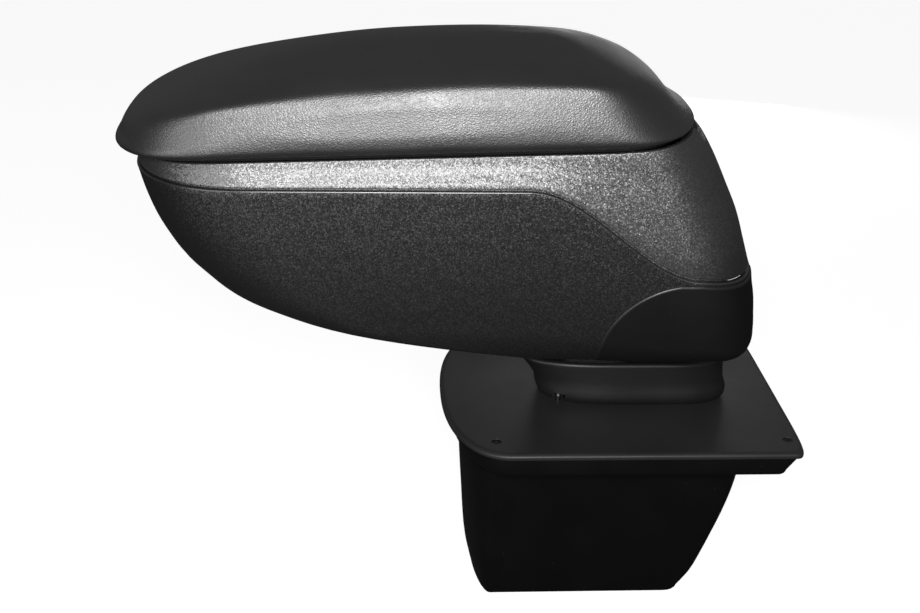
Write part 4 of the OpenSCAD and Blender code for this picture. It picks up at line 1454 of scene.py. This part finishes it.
@dataclass
class Studio:
    """Pale floor, camera at the photograph's angle, and soft lamps."""

    lens_mm: float = 50.0
    eye: tuple[float, float, float] = (-113.0, -674.0, 475.4)
    azimuth_deg: float = -3.54
    elevation_deg: float = 24.5
    roll_deg: float = 1.47
    target: tuple[float, float, float] = (-60.0, -40.0, 210.0)
    floor_colour: str = "#a0a0a0"
    floor_glow: float = 0.9
    bounce_colour: str = "#505050"
    world_light: float = 0.1
    glossy_light: float = 0.12
    floor_size: float = 9.0

    def camera(self) -> None:
        """Sets the camera where the photograph was taken from, with its slight roll."""
        data = bpy.data.cameras.new("camera")
        data.lens = self.lens_mm
        data.sensor_width = 36.0
        data.clip_end = 50
        azimuth, elevation = math.radians(self.azimuth_deg), math.radians(self.elevation_deg)
        reach = math.cos(elevation)
        back = Vector((math.sin(azimuth) * reach, -math.cos(azimuth) * reach, math.sin(elevation)))
        right = (-back).cross(Vector((0, 0, 1))).normalized()
        up = right.cross(-back)
        roll = math.radians(self.roll_deg)
        across = right * math.cos(roll) + up * math.sin(roll)
        axes = (across, up * math.cos(roll) - right * math.sin(roll), back)
        made = bpy.data.objects.new("camera", data)
        bpy.context.scene.collection.objects.link(made)
        made.matrix_world = Matrix.Translation(Vector(self.eye) * MM) @ Matrix(axes).transposed().to_4x4()
        bpy.context.scene.camera = made

    def lamp(self, name: str, place: Sequence[float], size: float, power: float) -> None:
        """Adds a square soft lamp that faces the arm.

        Args:
            name: The lamp's name.
            place: Where it stands, in millimetres.
            size: Its width in metres.
            power: Its power in watts.
        """
        data = bpy.data.lights.new(name, "AREA")
        data.size = size
        data.energy = power
        made = bpy.data.objects.new(name, data)
        bpy.context.scene.collection.objects.link(made)
        made.location = Vector(place) * MM
        aim = (Vector(self.target) - Vector(place)).to_track_quat("-Z", "Y")
        made.rotation_euler = aim.to_euler()

    def world(self) -> None:
        """Gives even light from all round, and white where the camera sees past the floor.

        Glossy rays see a dim backdrop, because black plastic and leatherette turn grey under white.
        """
        world = bpy.data.worlds.new("studio")
        bpy.context.scene.world = world
        world.use_nodes = True
        tree = world.node_tree
        tree.nodes.clear()
        rays = node(tree, "ShaderNodeLightPath")
        direct = {0: rays.outputs["Is Camera Ray"], 1: rays.outputs["Is Transmission Ray"]}
        seen = node(tree, "ShaderNodeMath", direct, operation="MAXIMUM")
        plain = node(tree, "ShaderNodeBackground", {"Color": (1, 1, 1, 1), "Strength": self.world_light})
        white = node(tree, "ShaderNodeBackground", {"Color": (1, 1, 1, 1), "Strength": 1.0})
        sheen = node(tree, "ShaderNodeBackground", {"Color": (1, 1, 1, 1), "Strength": self.glossy_light})
        glossy = {0: rays.outputs["Is Glossy Ray"], 1: plain.outputs[0], 2: sheen.outputs[0]}
        lit = node(tree, "ShaderNodeMixShader", glossy)
        mixed = node(
            tree, "ShaderNodeMixShader", {0: seen.outputs[0], 1: lit.outputs[0], 2: white.outputs[0]}
        )
        node(tree, "ShaderNodeOutputWorld", {"Surface": mixed.outputs[0]})

    def floor(self) -> None:
        """Makes the pale floor, which shows white to the camera and keeps the shadow."""
        outline = np.array([[-1, -1], [1, -1], [1, 1], [-1, 1]]) * self.floor_size * 500
        piece = mesh_object("floor", level(outline, 0.0), [(0, 1, 2, 3)])
        made = bpy.data.materials.new("painted_floor")
        made.use_nodes = True
        tree = made.node_tree
        tree.nodes.clear()
        rays = node(tree, "ShaderNodeLightPath")
        paint = node(tree, "ShaderNodeBsdfDiffuse", {"Color": linear(self.floor_colour)})
        glow = node(tree, "ShaderNodeEmission", {"Color": (1, 1, 1, 1), "Strength": self.floor_glow})
        both = node(tree, "ShaderNodeAddShader", {0: paint.outputs[0], 1: glow.outputs[0]})
        dull = node(tree, "ShaderNodeBsdfDiffuse", {"Color": linear(self.bounce_colour)})
        direct = {0: rays.outputs["Is Camera Ray"], 1: rays.outputs["Is Transmission Ray"]}
        seen = node(tree, "ShaderNodeMath", direct, operation="MAXIMUM")
        mixed = node(
            tree, "ShaderNodeMixShader", {0: seen.outputs[0], 1: dull.outputs[0], 2: both.outputs[0]}
        )
        node(tree, "ShaderNodeOutputMaterial", {"Surface": mixed.outputs[0]})
        piece.data.materials.append(made)

    def build(self) -> None:
        """Sets up the whole studio."""
        scene = bpy.context.scene
        scene.view_settings.view_transform = "Standard"
        self.camera()
        self.world()
        self.floor()
        self.lamp("key_softbox", (-85, -720, 520), 0.2, 5.2)
        self.lamp("left_softbox", (-650, -640, 320), 0.4, 1.6)
        self.lamp("rear_softbox", (250, 1100, 200), 0.4, 1.3)


def main() -> None:
    """Builds the sub-assemblies in order."""
    logging.basicConfig(level=logging.INFO, format="%(message)s")
    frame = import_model()
    form = ArmForm()
    Studio().build()
    LowerShell(form).build()
    UpperShell(form).build()
    HingeCheeks(form).build()
    PaddedLid(form).build()
    ConsoleInsert().build()
    Foot().build()
    Fittings(frame).build()


if __name__ == "__main__":
    main()
